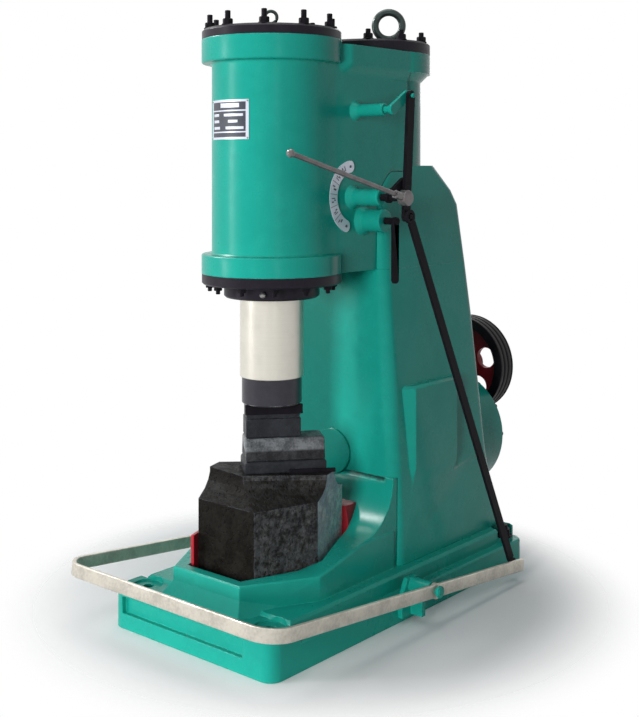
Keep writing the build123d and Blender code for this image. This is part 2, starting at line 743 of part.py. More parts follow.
def gear_case():
    """Round case over the gear and pinion behind the column."""
    length = GEAR_CASE_REAR - GEAR_CASE_FRONT
    big = rod(GEAR_R, length, (0, GEAR_CASE_FRONT, GEAR_Z), (0, 1, 0))
    small = rod(PINION_R, length, (0, GEAR_CASE_FRONT, PINION_Z), (0, 1, 0))
    waist = block(-PINION_R, PINION_R, GEAR_CASE_FRONT, GEAR_CASE_REAR, GEAR_Z, PINION_Z)
    body = big + small + waist
    rear_rim = body.faces().sort_by(Axis.Y)[-1].edges()
    body = chamfer(rear_rim, 9)
    cap = rod(GEAR_R - 74, 16, (0, GEAR_CASE_REAR - 1, GEAR_Z), (0, 1, 0))
    cap = chamfer(cap.edges().sort_by(Axis.Y)[-1], 5)
    return body + cap - column_casting_outline() - shaft_space()


def shaft_space():
    return rod(SHAFT_R + RUN, 400, (0, GEAR_CASE_REAR - 60, PINION_Z), (0, 1, 0))


def shaft_housing():
    """Bearing housing of the pinion shaft on the back of the gear case."""
    tube = rod(HOUSING_R, HOUSING_LEN, (0, GEAR_CASE_REAR, PINION_Z), (0, 1, 0))
    tube = chamfer(tube.edges().sort_by(Axis.Y)[-1], 5)
    flange = rod(HOUSING_R + 24, 14, (0, GEAR_CASE_REAR, PINION_Z), (0, 1, 0))
    return tube + flange - shaft_space()


def belt_plane_places():
    return [PULLEY_Y + (index - (GROOVES - 1) / 2) * GROOVE_PITCH for index in range(GROOVES)]


def grooved_disc(radius, x, z, width):
    """A disc with one groove for each belt."""
    disc = rod(radius, width, (x, PULLEY_Y - width / 2, z), (0, 1, 0))
    for y in belt_plane_places():
        cutter = rod(radius + 5, BELT_W + 2, (x, y - BELT_W / 2 - 1, z), (0, 1, 0))
        cutter = cutter - rod(radius - GROOVE_DEPTH, BELT_W + 4, (x, y - BELT_W / 2 - 2, z), (0, 1, 0))
        disc = disc - cutter
    return disc


def pulley_rim():
    rim = grooved_disc(PULLEY_R, 0, PINION_Z, PULLEY_W)
    return rim - rod(RIM_INNER_R, PULLEY_W + 2, (0, PULLEY_Y - PULLEY_W / 2 - 1, PINION_Z), (0, 1, 0))


def pulley_web():
    """Hub, shaft end and pierced web inside the rim."""
    web = rod(RIM_INNER_R, WEB_T, (0, PULLEY_Y - WEB_T / 2, PINION_Z), (0, 1, 0))
    for index in range(WEB_HOLES):
        angle = math.radians(90 + index * 360.0 / WEB_HOLES)
        x = WEB_HOLE_CIRCLE * math.cos(angle)
        z = PINION_Z + WEB_HOLE_CIRCLE * math.sin(angle)
        web = web - rod(WEB_HOLE_R, WEB_T + 4, (x, PULLEY_Y - WEB_T / 2 - 2, z), (0, 1, 0))
    hub = rod(PULLEY_HUB_R, PULLEY_W, (0, PULLEY_Y - PULLEY_W / 2, PINION_Z), (0, 1, 0))
    shaft_start = GEAR_CASE_REAR - 58
    shaft = rod(SHAFT_R, PULLEY_Y + PULLEY_W / 2 + 8 - shaft_start, (0, shaft_start, PINION_Z), (0, 1, 0))
    return web + hub + shaft


def motor_bracket():
    """Welded shelf on the side of the base that carries the motor."""
    wall = -BASE_HALF_W
    front = MOTOR_FRONT + 40
    rear = BASE_REAR - BASE_CORNER_R - 8
    shelf_top = MOTOR_Z - MOTOR_SHAFT_H
    outer = MOTOR_X - 120
    shelf = block(outer, MOTOR_X + 116, front, rear, shelf_top - 14, shelf_top)
    plate = block(wall - 14, wall, front, rear, 10, shelf_top - 13)
    body = shelf + plate
    for y in (front + 6, rear - 20):
        rib = Plane.XZ.offset(-y) * make_face(Polyline(
            (wall - 13, 24), (wall - 13, shelf_top - 13), (outer + 12, shelf_top - 13),
            (outer + 12, shelf_top - 40), close=True))
        body = body + extrude(rib, -12)
    return body


def motor():
    """Foot-mounted motor with ribs, end covers and shaft."""
    cowl_r = MOTOR_R - 4
    core = rod(MOTOR_R - 12, MOTOR_LEN - 90, (MOTOR_X, MOTOR_FRONT + 60, MOTOR_Z), (0, 1, 0))
    cowl = rod(cowl_r, 66, (MOTOR_X, MOTOR_FRONT, MOTOR_Z), (0, 1, 0))
    cowl = fillet(cowl.edges().sort_by(Axis.Y)[0], 12)
    head = rod(cowl_r, 34, (MOTOR_X, MOTOR_REAR - 34, MOTOR_Z), (0, 1, 0))
    shaft_len = PULLEY_Y - PULLEY_W / 2 - SEAT - MOTOR_REAR + 2
    shaft = rod(MOTOR_SHAFT_R, shaft_len, (MOTOR_X, MOTOR_REAR - 2, MOTOR_Z), (0, 1, 0))
    body = core + cowl + head + shaft
    middle = MOTOR_FRONT + MOTOR_LEN / 2 - 15
    for index in range(FINS):
        fin = Pos(0, middle, 0) * Box(FIN_T, FIN_LEN, FIN_H)
        fin = Pos(MOTOR_X, 0, MOTOR_Z) * Rot(0, index * 360.0 / FINS, 0) * Pos(0, 0, MOTOR_R - 14) * fin
        body = body + fin
    low = MOTOR_Z - MOTOR_SHAFT_H
    for side in (-1, 1):
        x = MOTOR_X + side * MOTOR_FOOT_X
        foot = Pos(x, middle, low + MOTOR_FOOT_T / 2) * Box(2 * MOTOR_FOOT_HALF, MOTOR_FOOT_LEN, MOTOR_FOOT_T)
        leg = Pos(x, middle, low + MOTOR_FOOT_HALF) * Box(MOTOR_FOOT_HALF, MOTOR_FOOT_LEN - 20, 2 * MOTOR_FOOT_HALF)
        body = body + foot + leg
    return body + terminal_box()


def terminal_box():
    wide, long, high = TERMINAL_BOX
    x = MOTOR_X - MOTOR_R - 9
    y = MOTOR_FRONT + MOTOR_LEN / 2 - 5
    z = MOTOR_Z + 36
    box = Pos(x, y, z) * Box(wide, long, high)
    box = fillet(box.edges().filter_by(Axis.Y), 8)
    return box + rod(13, 22, (x - 17, y, z - high / 2 - 20), (0, 0, 1))


def motor_pulley():
    return grooved_disc(MOTOR_PULLEY_R, MOTOR_X, MOTOR_Z, PULLEY_W)


def belt_loop(y):
    """One belt: the strip outside two circles and inside their outer tangents."""
    seat = GROOVE_DEPTH - SEAT
    big = PULLEY_R - seat + BELT_T
    small = MOTOR_PULLEY_R - seat + BELT_T
    dx, dz = MOTOR_X, MOTOR_Z - PINION_Z
    span = math.hypot(dx, dz)
    lean = math.degrees(math.atan2(dz, dx))

    def hull(r0, r1):
        tilt = math.acos((r0 - r1) / span)
        start = [(r0 * math.cos(s * tilt), r0 * math.sin(s * tilt)) for s in (1, -1)]
        end = [(span + r1 * math.cos(s * tilt), r1 * math.sin(s * tilt)) for s in (1, -1)]
        face = make_face(Polyline(start[0], end[0], end[1], start[1], close=True))
        return face + Circle(r0) + Pos(span, 0) * Circle(r1)

    loop = hull(big, small) - hull(big - BELT_T, small - BELT_T)
    plane = Plane(origin=(0, y + BELT_W / 2, PINION_Z), x_dir=(math.cos(math.radians(lean)), 0,
                                                              math.sin(math.radians(lean))), z_dir=(0, -1, 0))
    return extrude(plane * loop, BELT_W)


def drive_belts():
    return Compound(children=[belt_loop(y) for y in belt_plane_places()])


def treadle_bracket(side):
    """Bracket on the base side with the pin of the treadle."""
    wall = BASE_HALF_W
    inner = TREADLE_HALF_W - TREADLE_T / 2 - 6
    cheek = side_profile([
        (PIVOT_Y - 55, 18), (PIVOT_Y + 55, 18), (PIVOT_Y + 55, 78), (PIVOT_Y + 24, PIVOT_Z + 24),
        (PIVOT_Y - 24, PIVOT_Z + 24), (PIVOT_Y - 55, 78)], wall, wall + 16)
    rib = side_profile([
        (PIVOT_Y - 9, 20), (PIVOT_Y + 9, 20), (PIVOT_Y + 9, PIVOT_Z), (PIVOT_Y - 9, PIVOT_Z)], wall + 15, wall + 58)
    boss = rod(24, inner - wall, (wall, PIVOT_Y, PIVOT_Z), (1, 0, 0))
    pin = rod(PIVOT_PIN_R, TREADLE_T + 24, (inner - 2, PIVOT_Y, PIVOT_Z), (1, 0, 0))
    cap = rod(PIVOT_PIN_R + 6, 6, (inner + TREADLE_T + 14, PIVOT_Y, PIVOT_Z), (1, 0, 0))
    body = cheek + rib + boss + pin + cap
    return body if side > 0 else mirror(body, about=Plane.YZ)


def treadle():
    """Foot treadle: one flat bar bent round the base, on edge."""
    half = TREADLE_HALF_W
    t = TREADLE_T / 2

    def bar_outline(grow, rear_right, rear_left):
        x = half + grow
        front = TREADLE_FRONT - grow
        radius = TREADLE_CORNER_R + grow
        plan = make_face(Polyline((-x, front), (x, front), (x, rear_right), (-x, rear_left), close=True))
        corners = plan.vertices().group_by(Axis.Y)[0]
        return fillet(corners, radius)

    outer = bar_outline(t, TREADLE_REAR, TREADLE_REAR)
    inner = bar_outline(-t, TREADLE_REAR + 1, TREADLE_REAR + 1)
    loop = extrude(outer - inner, TREADLE_H)
    loop = loop - block(-half - 40, 0, LEFT_ARM_REAR, TREADLE_REAR + 10, -5, TREADLE_H + 5)
    loop = Pos(0, -PIVOT_Y, -TREADLE_H / 2) * loop
    loop = fillet(loop.edges().filter_by(lambda e: abs(e.center().Z - TREADLE_H / 2) < 0.1
                                         or abs(e.center().Z + TREADLE_H / 2) < 0.1), 3)
    loop = Pos(0, PIVOT_Y, PIVOT_Z) * Rot(-TREADLE_SLOPE, 0, 0) * loop
    for side in (-1, 1):
        eye = rod(EYE_R, TREADLE_T, (side * half - t, PIVOT_Y, PIVOT_Z), (1, 0, 0))
        loop = loop + eye - rod(PIVOT_PIN_R + RUN, TREADLE_T + 40, (side * half - t - 20, PIVOT_Y, PIVOT_Z),
                                (1, 0, 0))
    y, z = rod_pin_place()
    pin = rod(ROD_PIN_R, half - t - ROD_BOTTOM_X + ROD_T + 10, (ROD_BOTTOM_X - ROD_T - 4, y, z), (1, 0, 0))
    return loop + pin


def rod_pin_place():
    """Where the pull rod hangs on the treadle's rear arm."""
    arm = ROD_PIN_Y - PIVOT_Y
    return ROD_PIN_Y, PIVOT_Z - arm * math.tan(math.radians(TREADLE_SLOPE))


def flat_arm(y0, z0, y1, z1, width, x, thick, hole0, hole1):
    """A flat bar with round ends and a hole at each end, in a plane across X."""
    lean = math.degrees(math.atan2(z1 - z0, y1 - y0))
    length = math.hypot(y1 - y0, z1 - z0)
    plan = make_face(Polyline((0, -width / 2), (length, -width / 2), (length, width / 2), (0, width / 2), close=True))
    plan = plan + Circle(width / 2) + Pos(length, 0) * Circle(width / 2)
    if hole0:
        plan = plan - Circle(hole0)
    if hole1:
        plan = plan - Pos(length, 0) * Circle(hole1)
    plane = Plane(origin=(x, y0, z0), x_dir=(0, math.cos(math.radians(lean)), math.sin(math.radians(lean))),
                  z_dir=(1, 0, 0))
    return extrude(plane * plan, thick)


def crank_pin_place(y, z):
    return y + CRANK_DY, z + CRANK_DZ


def control_crank():
    """Spindle of the control valve with its crank and pin."""
    y, z = crank_pin_place(CONTROL_Y, CONTROL_Z)
    arm = flat_arm(CONTROL_Y, CONTROL_Z, y, z, 34, CRANK_X, CRANK_T, 0, 0)
    spindle = rod(SPINDLE_R, HUB_X + HUB_LEN - 4 - SPINDLE_START, (SPINDLE_START, CONTROL_Y, CONTROL_Z), (1, 0, 0))
    pin = rod(LINK_PIN_R, BAR_X - CRANK_X + BAR_T, (CRANK_X, y, z), (1, 0, 0))
    return arm + spindle + pin


def upper_crank():
    """Spindle of the upper valve with its crank and pin."""
    y, z = crank_pin_place(UPPER_Y, UPPER_Z)
    arm = flat_arm(UPPER_Y, UPPER_Z, y, z, 34, CRANK_X, CRANK_T, 0, 0)
    spindle = rod(SPINDLE_R, CRANK_X + CRANK_T - SPINDLE_START, (SPINDLE_START, UPPER_Y, UPPER_Z), (1, 0, 0))
    pin = rod(LINK_PIN_R - 1, BAR_X - CRANK_X + BAR_T + 8, (CRANK_X, y, z), (1, 0, 0))
    return arm + spindle + pin


def bar_ends():
    """Lower end, crank pin and upper end of the link bar."""
    low_y, low_z = crank_pin_place(CONTROL_Y, CONTROL_Z)
    top_y, top_z = crank_pin_place(UPPER_Y, UPPER_Z)
    span = math.hypot(top_y - low_y, top_z - low_z)
    uy, uz = (top_y - low_y) / span, (top_z - low_z) / span
    return (low_y - BAR_BELOW * uy, low_z - BAR_BELOW * uz), (low_y, low_z), (top_y, top_z)


def link_bar():
    """Upright bar that joins the two valve cranks, with a pin for the pull rod."""
    low, crank, top = bar_ends()
    bar = flat_arm(low[0], low[1], top[0], top[1], BAR_W, BAR_X, BAR_T, 0, LINK_PIN_R)
    bar = bar - rod(LINK_PIN_R + RUN, BAR_T + 10, (BAR_X - 5, crank[0], crank[1]), (1, 0, 0))
    pin = rod(LINK_PIN_R, BAR_T + 16, (BAR_X, low[0], low[1]), (1, 0, 0))
    return bar + pin


def pull_rod():
    """Long flat rod from the treadle up to the link bar, leaning out at its foot."""
    low, _, _ = bar_ends()
    y, z = rod_pin_place()
    lean = Vector(ROD_TOP_X - (ROD_BOTTOM_X - ROD_T), low[0] - y, low[1] - z)
    start = Vector(ROD_BOTTOM_X - ROD_T, y, z)
    across = Vector(1, 0, 0)
    side_dir = lean.cross(across).normalized()
    normal = side_dir.cross(lean).normalized()
    if normal.X < 0:
        normal = normal * -1
    plane = Plane(origin=start, x_dir=lean.normalized(), z_dir=normal)
    length = lean.length
    plan = make_face(Polyline((20, -ROD_W / 2), (length - 20, -ROD_W / 2), (length - 20, ROD_W / 2),
                              (20, ROD_W / 2), close=True))
    shank = extrude(plane * plan, ROD_T)
    foot_eye = rod(21, ROD_T, (ROD_BOTTOM_X - ROD_T, y, z), (1, 0, 0))
    top_eye = rod(22, ROD_T, (ROD_TOP_X, low[0], low[1]), (1, 0, 0))
    body = shank + foot_eye + top_eye
    body = body - rod(ROD_PIN_R + RUN, ROD_T + 60, (ROD_BOTTOM_X - ROD_T - 30, y, z), (1, 0, 0))
    return body - rod(LINK_PIN_R + OPEN_PLAY, ROD_T + 40, (ROD_TOP_X - 20, low[0], low[1]), (1, 0, 0))


def control_lever():
    """Hand lever with its hub and knob."""
    rise = math.radians(LEVER_RISE)
    direction = (0, -math.cos(rise), math.sin(rise))
    middle = HUB_X + HUB_LEN / 2
    hub = rod(HUB_R, HUB_LEN, (HUB_X, CONTROL_Y, CONTROL_Z), (1, 0, 0))
    hub = fillet(hub.edges(), 4)
    arm = rod(LEVER_R, LEVER_LEN - 10, (middle, CONTROL_Y + 10 * direction[1], CONTROL_Z + 10 * direction[2]),
              direction)
    collar = rod(LEVER_R + 5, 44, (middle, CONTROL_Y + 10 * direction[1], CONTROL_Z + 10 * direction[2]), direction)
    knob = Pos(middle, CONTROL_Y + LEVER_LEN * direction[1], CONTROL_Z + LEVER_LEN * direction[2]) * Sphere(KNOB_R)
    body = hub + arm + collar + knob
    return body - rod(SPINDLE_R, HUB_LEN - 4, (HUB_X, CONTROL_Y, CONTROL_Z), (1, 0, 0))


def idle_valve_handle():
    """Short hanging handle of the idle-run valve, with its spindle."""
    spindle = rod(SPINDLE_R, HANDLE_X + HANDLE_T + 5 - SPINDLE_START, (SPINDLE_START, IDLE_Y, IDLE_Z), (1, 0, 0))
    grip = flat_arm(IDLE_Y, IDLE_Z, IDLE_Y, IDLE_Z - HANDLE_LEN, HANDLE_W, HANDLE_X, HANDLE_T, 0, 0)
    return spindle + grip


def anchor_nuts():
    """Foundation nuts and washers on the rear feet."""
    shapes = []
    for x, y in foot_places()[1::2]:
        washer = upright(30, BASE_H + 14, BASE_H + 20, x, y)
        nut = hexagon_bar(24, BASE_H + 20, BASE_H + 42, x, y)
        stud = upright(FOOT_BOLT_R - 3, BASE_H - 30, BASE_H + 56, x, y)
        shapes.append(washer + nut + stud)
    return Compound(children=shapes)


NODES = {
    "base_casting": base_casting,
    "column_casting": column_casting,
    "cylinder_housing": cylinder_housing,
    "working_cylinder": working_cylinder,
    "compression_cylinder": compression_cylinder,
    "valve_chest": valve_chest,
    "front_cover": front_cover,
    "rear_cover": rear_cover,
    "bottom_cover": bottom_cover,
    "front_cover_studs": front_cover_studs,
    "rear_cover_studs": rear_cover_studs,
    "bottom_cover_nuts": bottom_cover_nuts,
    "front_eye_bolt": front_eye_bolt,
    "lifting_eye": lifting_eye,
    "gland_plug": gland_plug,
    "throat_cover": throat_cover,
    "nameplate": nameplate,
    "scale_plate": scale_plate,
    "anvil_block": anvil_block,
    "anvil_pad": anvil_pad,
    "pad_key": pad_key,
    "lower_die": lower_die,
    "packing_wedge_left": packing_wedge_left,
    "packing_wedge_right": packing_wedge_right,
    "gear_case": gear_case,
    "shaft_housing": shaft_housing,
    "motor_bracket": motor_bracket,
    "motor": motor,
    "drive_belts": drive_belts,
    "treadle_bracket_left": lambda: treadle_bracket(-1),
    "treadle_bracket_right": lambda: treadle_bracket(1),
    "anchor_nuts": anchor_nuts,
    "ram": ram,
    "upper_die": upper_die,
    "upper_die_key": upper_die_key,
    "treadle": treadle,
    "control_lever": control_lever,
    "control_crank": control_crank,
    "link_bar": link_bar,
    "upper_crank": upper_crank,
    "pull_rod": pull_rod,
    "idle_valve_handle": idle_valve_handle,
    "pulley_rim": pulley_rim,
    "pulley_web": pulley_web,
    "motor_pulley": motor_pulley,
}

os.makedirs("parts", exist_ok=True)
for name, build in NODES.items():
    export_step(build(), "parts/" + name + ".step")
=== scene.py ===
import json
import math

import bmesh
import bpy
import numpy as np
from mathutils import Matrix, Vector

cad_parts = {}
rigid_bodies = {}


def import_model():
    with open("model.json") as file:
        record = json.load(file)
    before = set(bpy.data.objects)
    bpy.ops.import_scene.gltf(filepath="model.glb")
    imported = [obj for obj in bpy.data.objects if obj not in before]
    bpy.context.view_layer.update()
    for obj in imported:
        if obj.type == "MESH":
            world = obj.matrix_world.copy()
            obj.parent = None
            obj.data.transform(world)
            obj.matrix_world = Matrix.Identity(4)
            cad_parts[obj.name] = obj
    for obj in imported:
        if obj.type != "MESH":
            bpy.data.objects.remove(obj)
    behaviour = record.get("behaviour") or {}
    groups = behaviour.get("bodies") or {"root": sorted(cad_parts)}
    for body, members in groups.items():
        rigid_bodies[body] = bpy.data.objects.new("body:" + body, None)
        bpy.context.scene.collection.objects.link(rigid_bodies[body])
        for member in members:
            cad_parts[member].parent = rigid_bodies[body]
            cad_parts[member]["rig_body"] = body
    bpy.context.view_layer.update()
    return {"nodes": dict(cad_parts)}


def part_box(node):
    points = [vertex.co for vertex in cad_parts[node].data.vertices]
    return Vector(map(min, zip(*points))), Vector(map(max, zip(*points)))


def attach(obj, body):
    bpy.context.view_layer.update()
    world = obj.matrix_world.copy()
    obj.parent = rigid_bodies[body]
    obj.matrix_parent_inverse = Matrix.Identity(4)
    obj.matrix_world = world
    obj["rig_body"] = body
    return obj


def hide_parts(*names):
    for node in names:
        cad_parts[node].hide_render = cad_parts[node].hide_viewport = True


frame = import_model()

bl_info = {
    "name": "Air forging hammer",
    "version": (1, 0, 0),
    "blender": (4, 5, 0),
    "location": "3D View > Sidebar > Hammer",
    "description": "Finishes, fastenings and stage of an air forging hammer",
    "category": "Object",
}

# Places on the castings, in metres
FRONT_COVER_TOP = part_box("front_cover")[1].z
REAR_COVER_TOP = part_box("rear_cover")[1].z
REAR_COVER_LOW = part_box("rear_cover")[0].z
LOW_COVER_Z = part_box("bottom_cover_nuts")[1].z
REAR_AXIS_Y = 0.503
BARREL_R = 0.188
GEAR_AXIS_Z = 0.424
PINION_AXIS_Z = 0.658
GEAR_CASE_BACK = 1.040
CHEST_SIDE_X = 0.1835

# Rings of studs and bolts: count, radius in metres and first angle in degrees
FRONT_RING = (10, 0.196, 18)
REAR_RING = (10, 0.186, 18)
LOW_RING = (12, 0.194, 15)
CASE_RING = (12, 0.196, 0)
CASE_CAP_RING = (6, 0.116, 0)
PINION_CAP_RING = (6, 0.070, 30)

# Distance that a stud keeps from the ram's axis, and a bolt from the pinion's
FRONT_FLANGE_CLEAR = 0.241
PINION_CLEAR = 0.11

# Height of the caps on the gear case's back
CASE_CAP_HEIGHT = 0.015
PINION_CAP_HEIGHT = 0.014

# Stud radius, nut radius, nut height and reach of the small fastenings, in metres
LOW_BOLT = (0.007, 0.013, 0.010, 0.024)
CASE_BOLT = (0.004, 0.009, 0.006, 0.010)
PINION_BOLT = (0.004, 0.008, 0.006, 0.010)

# Nuts and studs of the two upper covers, whose radii are settings
COVER_NUT_HEIGHT = 0.016
FRONT_STUD_REACH = 0.044
REAR_STUD_REACH = 0.034
WASHER_THICK = 0.003

# Scale behind the lever: its centre along the hammer and up, then radii and thickness in metres
CONTROL_AXIS = (0.176, 1.320)
SCALE_FACE_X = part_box("scale_plate")[1].x
SCALE_MIDDLE_R = 0.097
SCALE_HALF_WIDTH = 0.019
SCALE_THICK = 0.003
SCALE_ENDS = (math.radians(98), math.radians(249))
SCALE_RIVET_R = 0.0045

# Where the scale's six fields start and how far apart they lie, in degrees, with its dividing line's form
SCALE_FIRST = 107
SCALE_STEP = 22.3
SCALE_MARK_TURN = 11
SCALE_LINE = (0.080, 0.114, 0.0007)
MARK_THICK = 0.0006

# Turn in degrees, inner and outer radius and half width of the strokes of three plain marks
SCALE_MARKS = (
    ((-3.4, 0.090, 0.106, 0.0013), (0.4, 0.088, 0.094, 0.0022), (3.2, 0.098, 0.106, 0.0020)),
    ((-2.8, 0.088, 0.096, 0.0020), (0.0, 0.096, 0.106, 0.0013), (3.4, 0.088, 0.104, 0.0012)),
    ((-3.0, 0.096, 0.107, 0.0018), (2.0, 0.088, 0.099, 0.0026)),
)

# Faces of a bar whose eight corners are four low ones, then four high ones
BOX_FACES = np.array([[0, 1, 3, 2], [4, 6, 7, 5], [0, 4, 5, 1], [2, 3, 7, 6], [0, 2, 6, 4], [1, 5, 7, 3]])

# Nameplate: where it faces, its half width round the barrel, its half height and thickness
NAMEPLATE_TURN = math.radians(-94.5)
NAMEPLATE_HALF_WIDTH = 0.085
NAMEPLATE_HALF_HEIGHT = 0.060
NAMEPLATE_DROP = 0.002
NAMEPLATE_THICK = 0.002
NAMEPLATE_RIVET = (0.95, 0.056)
NAMEPLATE_RIVET_R = 0.003

# How far the fields and bars stand out of the sheet, where the bars start, and how far a layer is sunk
FIELD_PROUD = 0.0004
BAR_PROUD = 0.0008
BAR_START = 0.0003
LAYER_SUNK = 0.0003

# Share of the half width and height in metres of the plate's dark fields, then of its pale bars
NAMEPLATE_FIELDS = ((-0.88, 0.88, 0.029, 0.053), (-0.88, 0.88, -0.036, 0.025), (-0.88, 0.88, -0.053, -0.040))
NAMEPLATE_HEAD = (-0.3, 0.62, 0.036, 0.049)
NAMEPLATE_LINES = ((-0.78, -0.4, 0.013), (-0.1, 0.78, 0.013), (-0.78, -0.4, -0.006), (0.12, 0.56, -0.006),
                   (-0.78, -0.34, -0.026), (0.0, 0.8, -0.026))
NAMEPLATE_LINE_LOW, NAMEPLATE_LINE_HIGH = 0.0035, 0.0045

# Blend between barrel and chest: its heights, length along the hammer and how far its skin stands out
BLEND_LOW, BLEND_HIGH = 1.1435, 1.7375
BLEND_START_Y, BLEND_END_Y = -0.03, 0.12
BLEND_THICK = 0.004
BLEND_SUNK = 0.0005
BLEND_PROUD = 0.0007
BLEND_DROP = 0.0046

# Band of the chest under the rear cover
BAND_HEIGHT = 0.100
BAND_HOLLOW = 0.045
BAND_DEPTH = 0.0205
BAND_ROOT = 0.006
BAND_GAP = 0.0005
BAND_START_Y, BAND_FULL_Y, BAND_LEVEL_Y, BAND_END_Y = 0.10, 0.16, 0.18, 0.47

# Camera that matches the photograph: place, turn in degrees, lens in millimetres and upward shift
VIEW_FROM = (2.4754, -2.6870, 1.4070)
VIEW_TURN = 40.3
VIEW_LENS = 58.26
VIEW_SHIFT = -0.2637

# Where the lamps aim, and the middle and the rings of the floor
LAMP_TARGET = (0, 0.2, 0.95)
FLOOR_CENTRE = (-0.05, 0.30, 0.0)
FLOOR_RADII = (0.0, 1.5, 3.0, 9.0)


def node_faces(count_u, count_v, wrap_u, wrap_v):
    """Quads of a grid of points, joined end to start where a direction wraps."""
    u = np.arange(count_u if wrap_u else count_u - 1)
    v = np.arange(count_v if wrap_v else count_v - 1)
    a, b = np.meshgrid(u, v, indexing="ij")
    c, d = (a + 1) % count_u, (b + 1) % count_v
    return np.stack([a * count_v + b, c * count_v + b, c * count_v + d, a * count_v + d], -1).reshape(-1, 4)


def new_object(name, points, faces, material, smooth_angle=35.0):
    """A mesh object from point and face arrays, with doubles merged and faces turned outwards."""
    mesh = bpy.data.meshes.new(name)
    mesh.from_pydata(np.asarray(points).reshape(-1, 3).tolist(), [], [list(face) for face in faces])
    work = bmesh.new()
    work.from_mesh(mesh)
    bmesh.ops.remove_doubles(work, verts=work.verts, dist=2e-6)
    bmesh.ops.dissolve_degenerate(work, edges=work.edges, dist=1e-7)
    bmesh.ops.recalc_face_normals(work, faces=work.faces)
    work.to_mesh(mesh)
    work.free()
    mesh.polygons.foreach_set("use_smooth", np.ones(len(mesh.polygons), dtype=bool))
    mesh.set_sharp_from_angle(angle=math.radians(smooth_angle))
    obj = bpy.data.objects.new(name, mesh)
    bpy.context.scene.collection.objects.link(obj)
    obj.data.materials.append(material)
    return obj


def eased(share):
    """Half a cosine wave, from nothing at zero to all at one."""
    return 0.5 - 0.5 * np.cos(np.pi * np.clip(share, 0, 1))


def ring_places(count, radius, first):
    """Places of a ring of fastenings round an axis, from a first angle in degrees."""
    angles = [math.radians(first + 360 / count * index) for index in range(count)]
    return [(radius * math.cos(a), radius * math.sin(a)) for a in angles]


def turned(profile, steps):
    """Points of a turned shape: radius and height along a profile, swept round the height axis."""
    profile = np.asarray(profile, float)
    angle = np.linspace(0, 2 * math.pi, steps, endpoint=False)
    x = profile[:, :1] * np.cos(angle)
    y = profile[:, :1] * np.sin(angle)
    z = np.repeat(profile[:, 1:2], steps, 1)
    return np.stack([x, y, z], -1), node_faces(len(profile), steps, False, True)


def placed(points, origin, axis):
    """Points turned so that their height axis lies along an axis, then moved to an origin."""
    turn = Vector((0, 0, 1)).rotation_difference(Vector(axis)).to_matrix()
    return np.asarray(points).reshape(-1, 3) @ np.array(turn).T + np.asarray(origin)


def copies(parts):
    """One point array and one face array out of several of them."""
    points, faces, start = [], [], 0
    for some_points, some_faces in parts:
        some_points = np.asarray(some_points).reshape(-1, 3)
        points.append(some_points)
        faces.append(np.asarray(some_faces) + start)
        start += len(some_points)
    return np.concatenate(points), np.concatenate(faces)


def socket_group(name, inputs, outputs):
    """An empty shader group with named inputs and outputs."""
    tree = bpy.data.node_groups.new(name, "ShaderNodeTree")
    for label, kind, value in inputs:
        item = tree.interface.new_socket(label, in_out="INPUT", socket_type=kind)
        item.default_value = value
    for label, kind in outputs:
        tree.interface.new_socket(label, in_out="OUTPUT", socket_type=kind)
    return tree, tree.nodes.new("NodeGroupInput"), tree.nodes.new("NodeGroupOutput")


def noise(tree, vector, scale, detail=4.0, rough=0.55):
    """Fractal noise on a vector, at a fixed scale or one that a socket gives."""
    node = tree.nodes.new("ShaderNodeTexNoise")
    tree.links.new(vector, node.inputs["Vector"])
    if isinstance(scale, float):
        node.inputs["Scale"].default_value = scale
    else:
        tree.links.new(scale, node.inputs["Scale"])
    node.inputs["Detail"].default_value = detail
    node.inputs["Roughness"].default_value = rough
    return node.outputs["Fac"]


def math_node(tree, kind, a, b=None, clamp=False):
    """One step of arithmetic on numbers or sockets."""
    node = tree.nodes.new("ShaderNodeMath")
    node.operation = kind
    node.use_clamp = clamp
    for index, value in enumerate((a, b)):
        if value is None:
            continue
        if isinstance(value, (int, float)):
            node.inputs[index].default_value = value
        else:
            tree.links.new(value, node.inputs[index])
    return node.outputs[0]


def ramp(tree, value, low, high):
    """A smooth step from nothing at a low value to all at a high one."""
    node = tree.nodes.new("ShaderNodeMapRange")
    node.interpolation_type = "SMOOTHSTEP"
    tree.links.new(value, node.inputs["Value"])
    node.inputs["From Min"].default_value = low
    node.inputs["From Max"].default_value = high
    return node.outputs["Result"]


def mix(tree, factor, a, b):
    """A colour between two, which may be colours or sockets."""
    node = tree.nodes.new("ShaderNodeMix")
    node.data_type = "RGBA"
    colours = [s for s in node.inputs if s.type == "RGBA"]
    tree.links.new(factor, node.inputs["Factor"])
    for socket, value in zip(colours, (a, b)):
        if isinstance(value, tuple):
            socket.default_value = value
        else:
            tree.links.new(value, socket)
    return [s for s in node.outputs if s.type == "RGBA"][0]


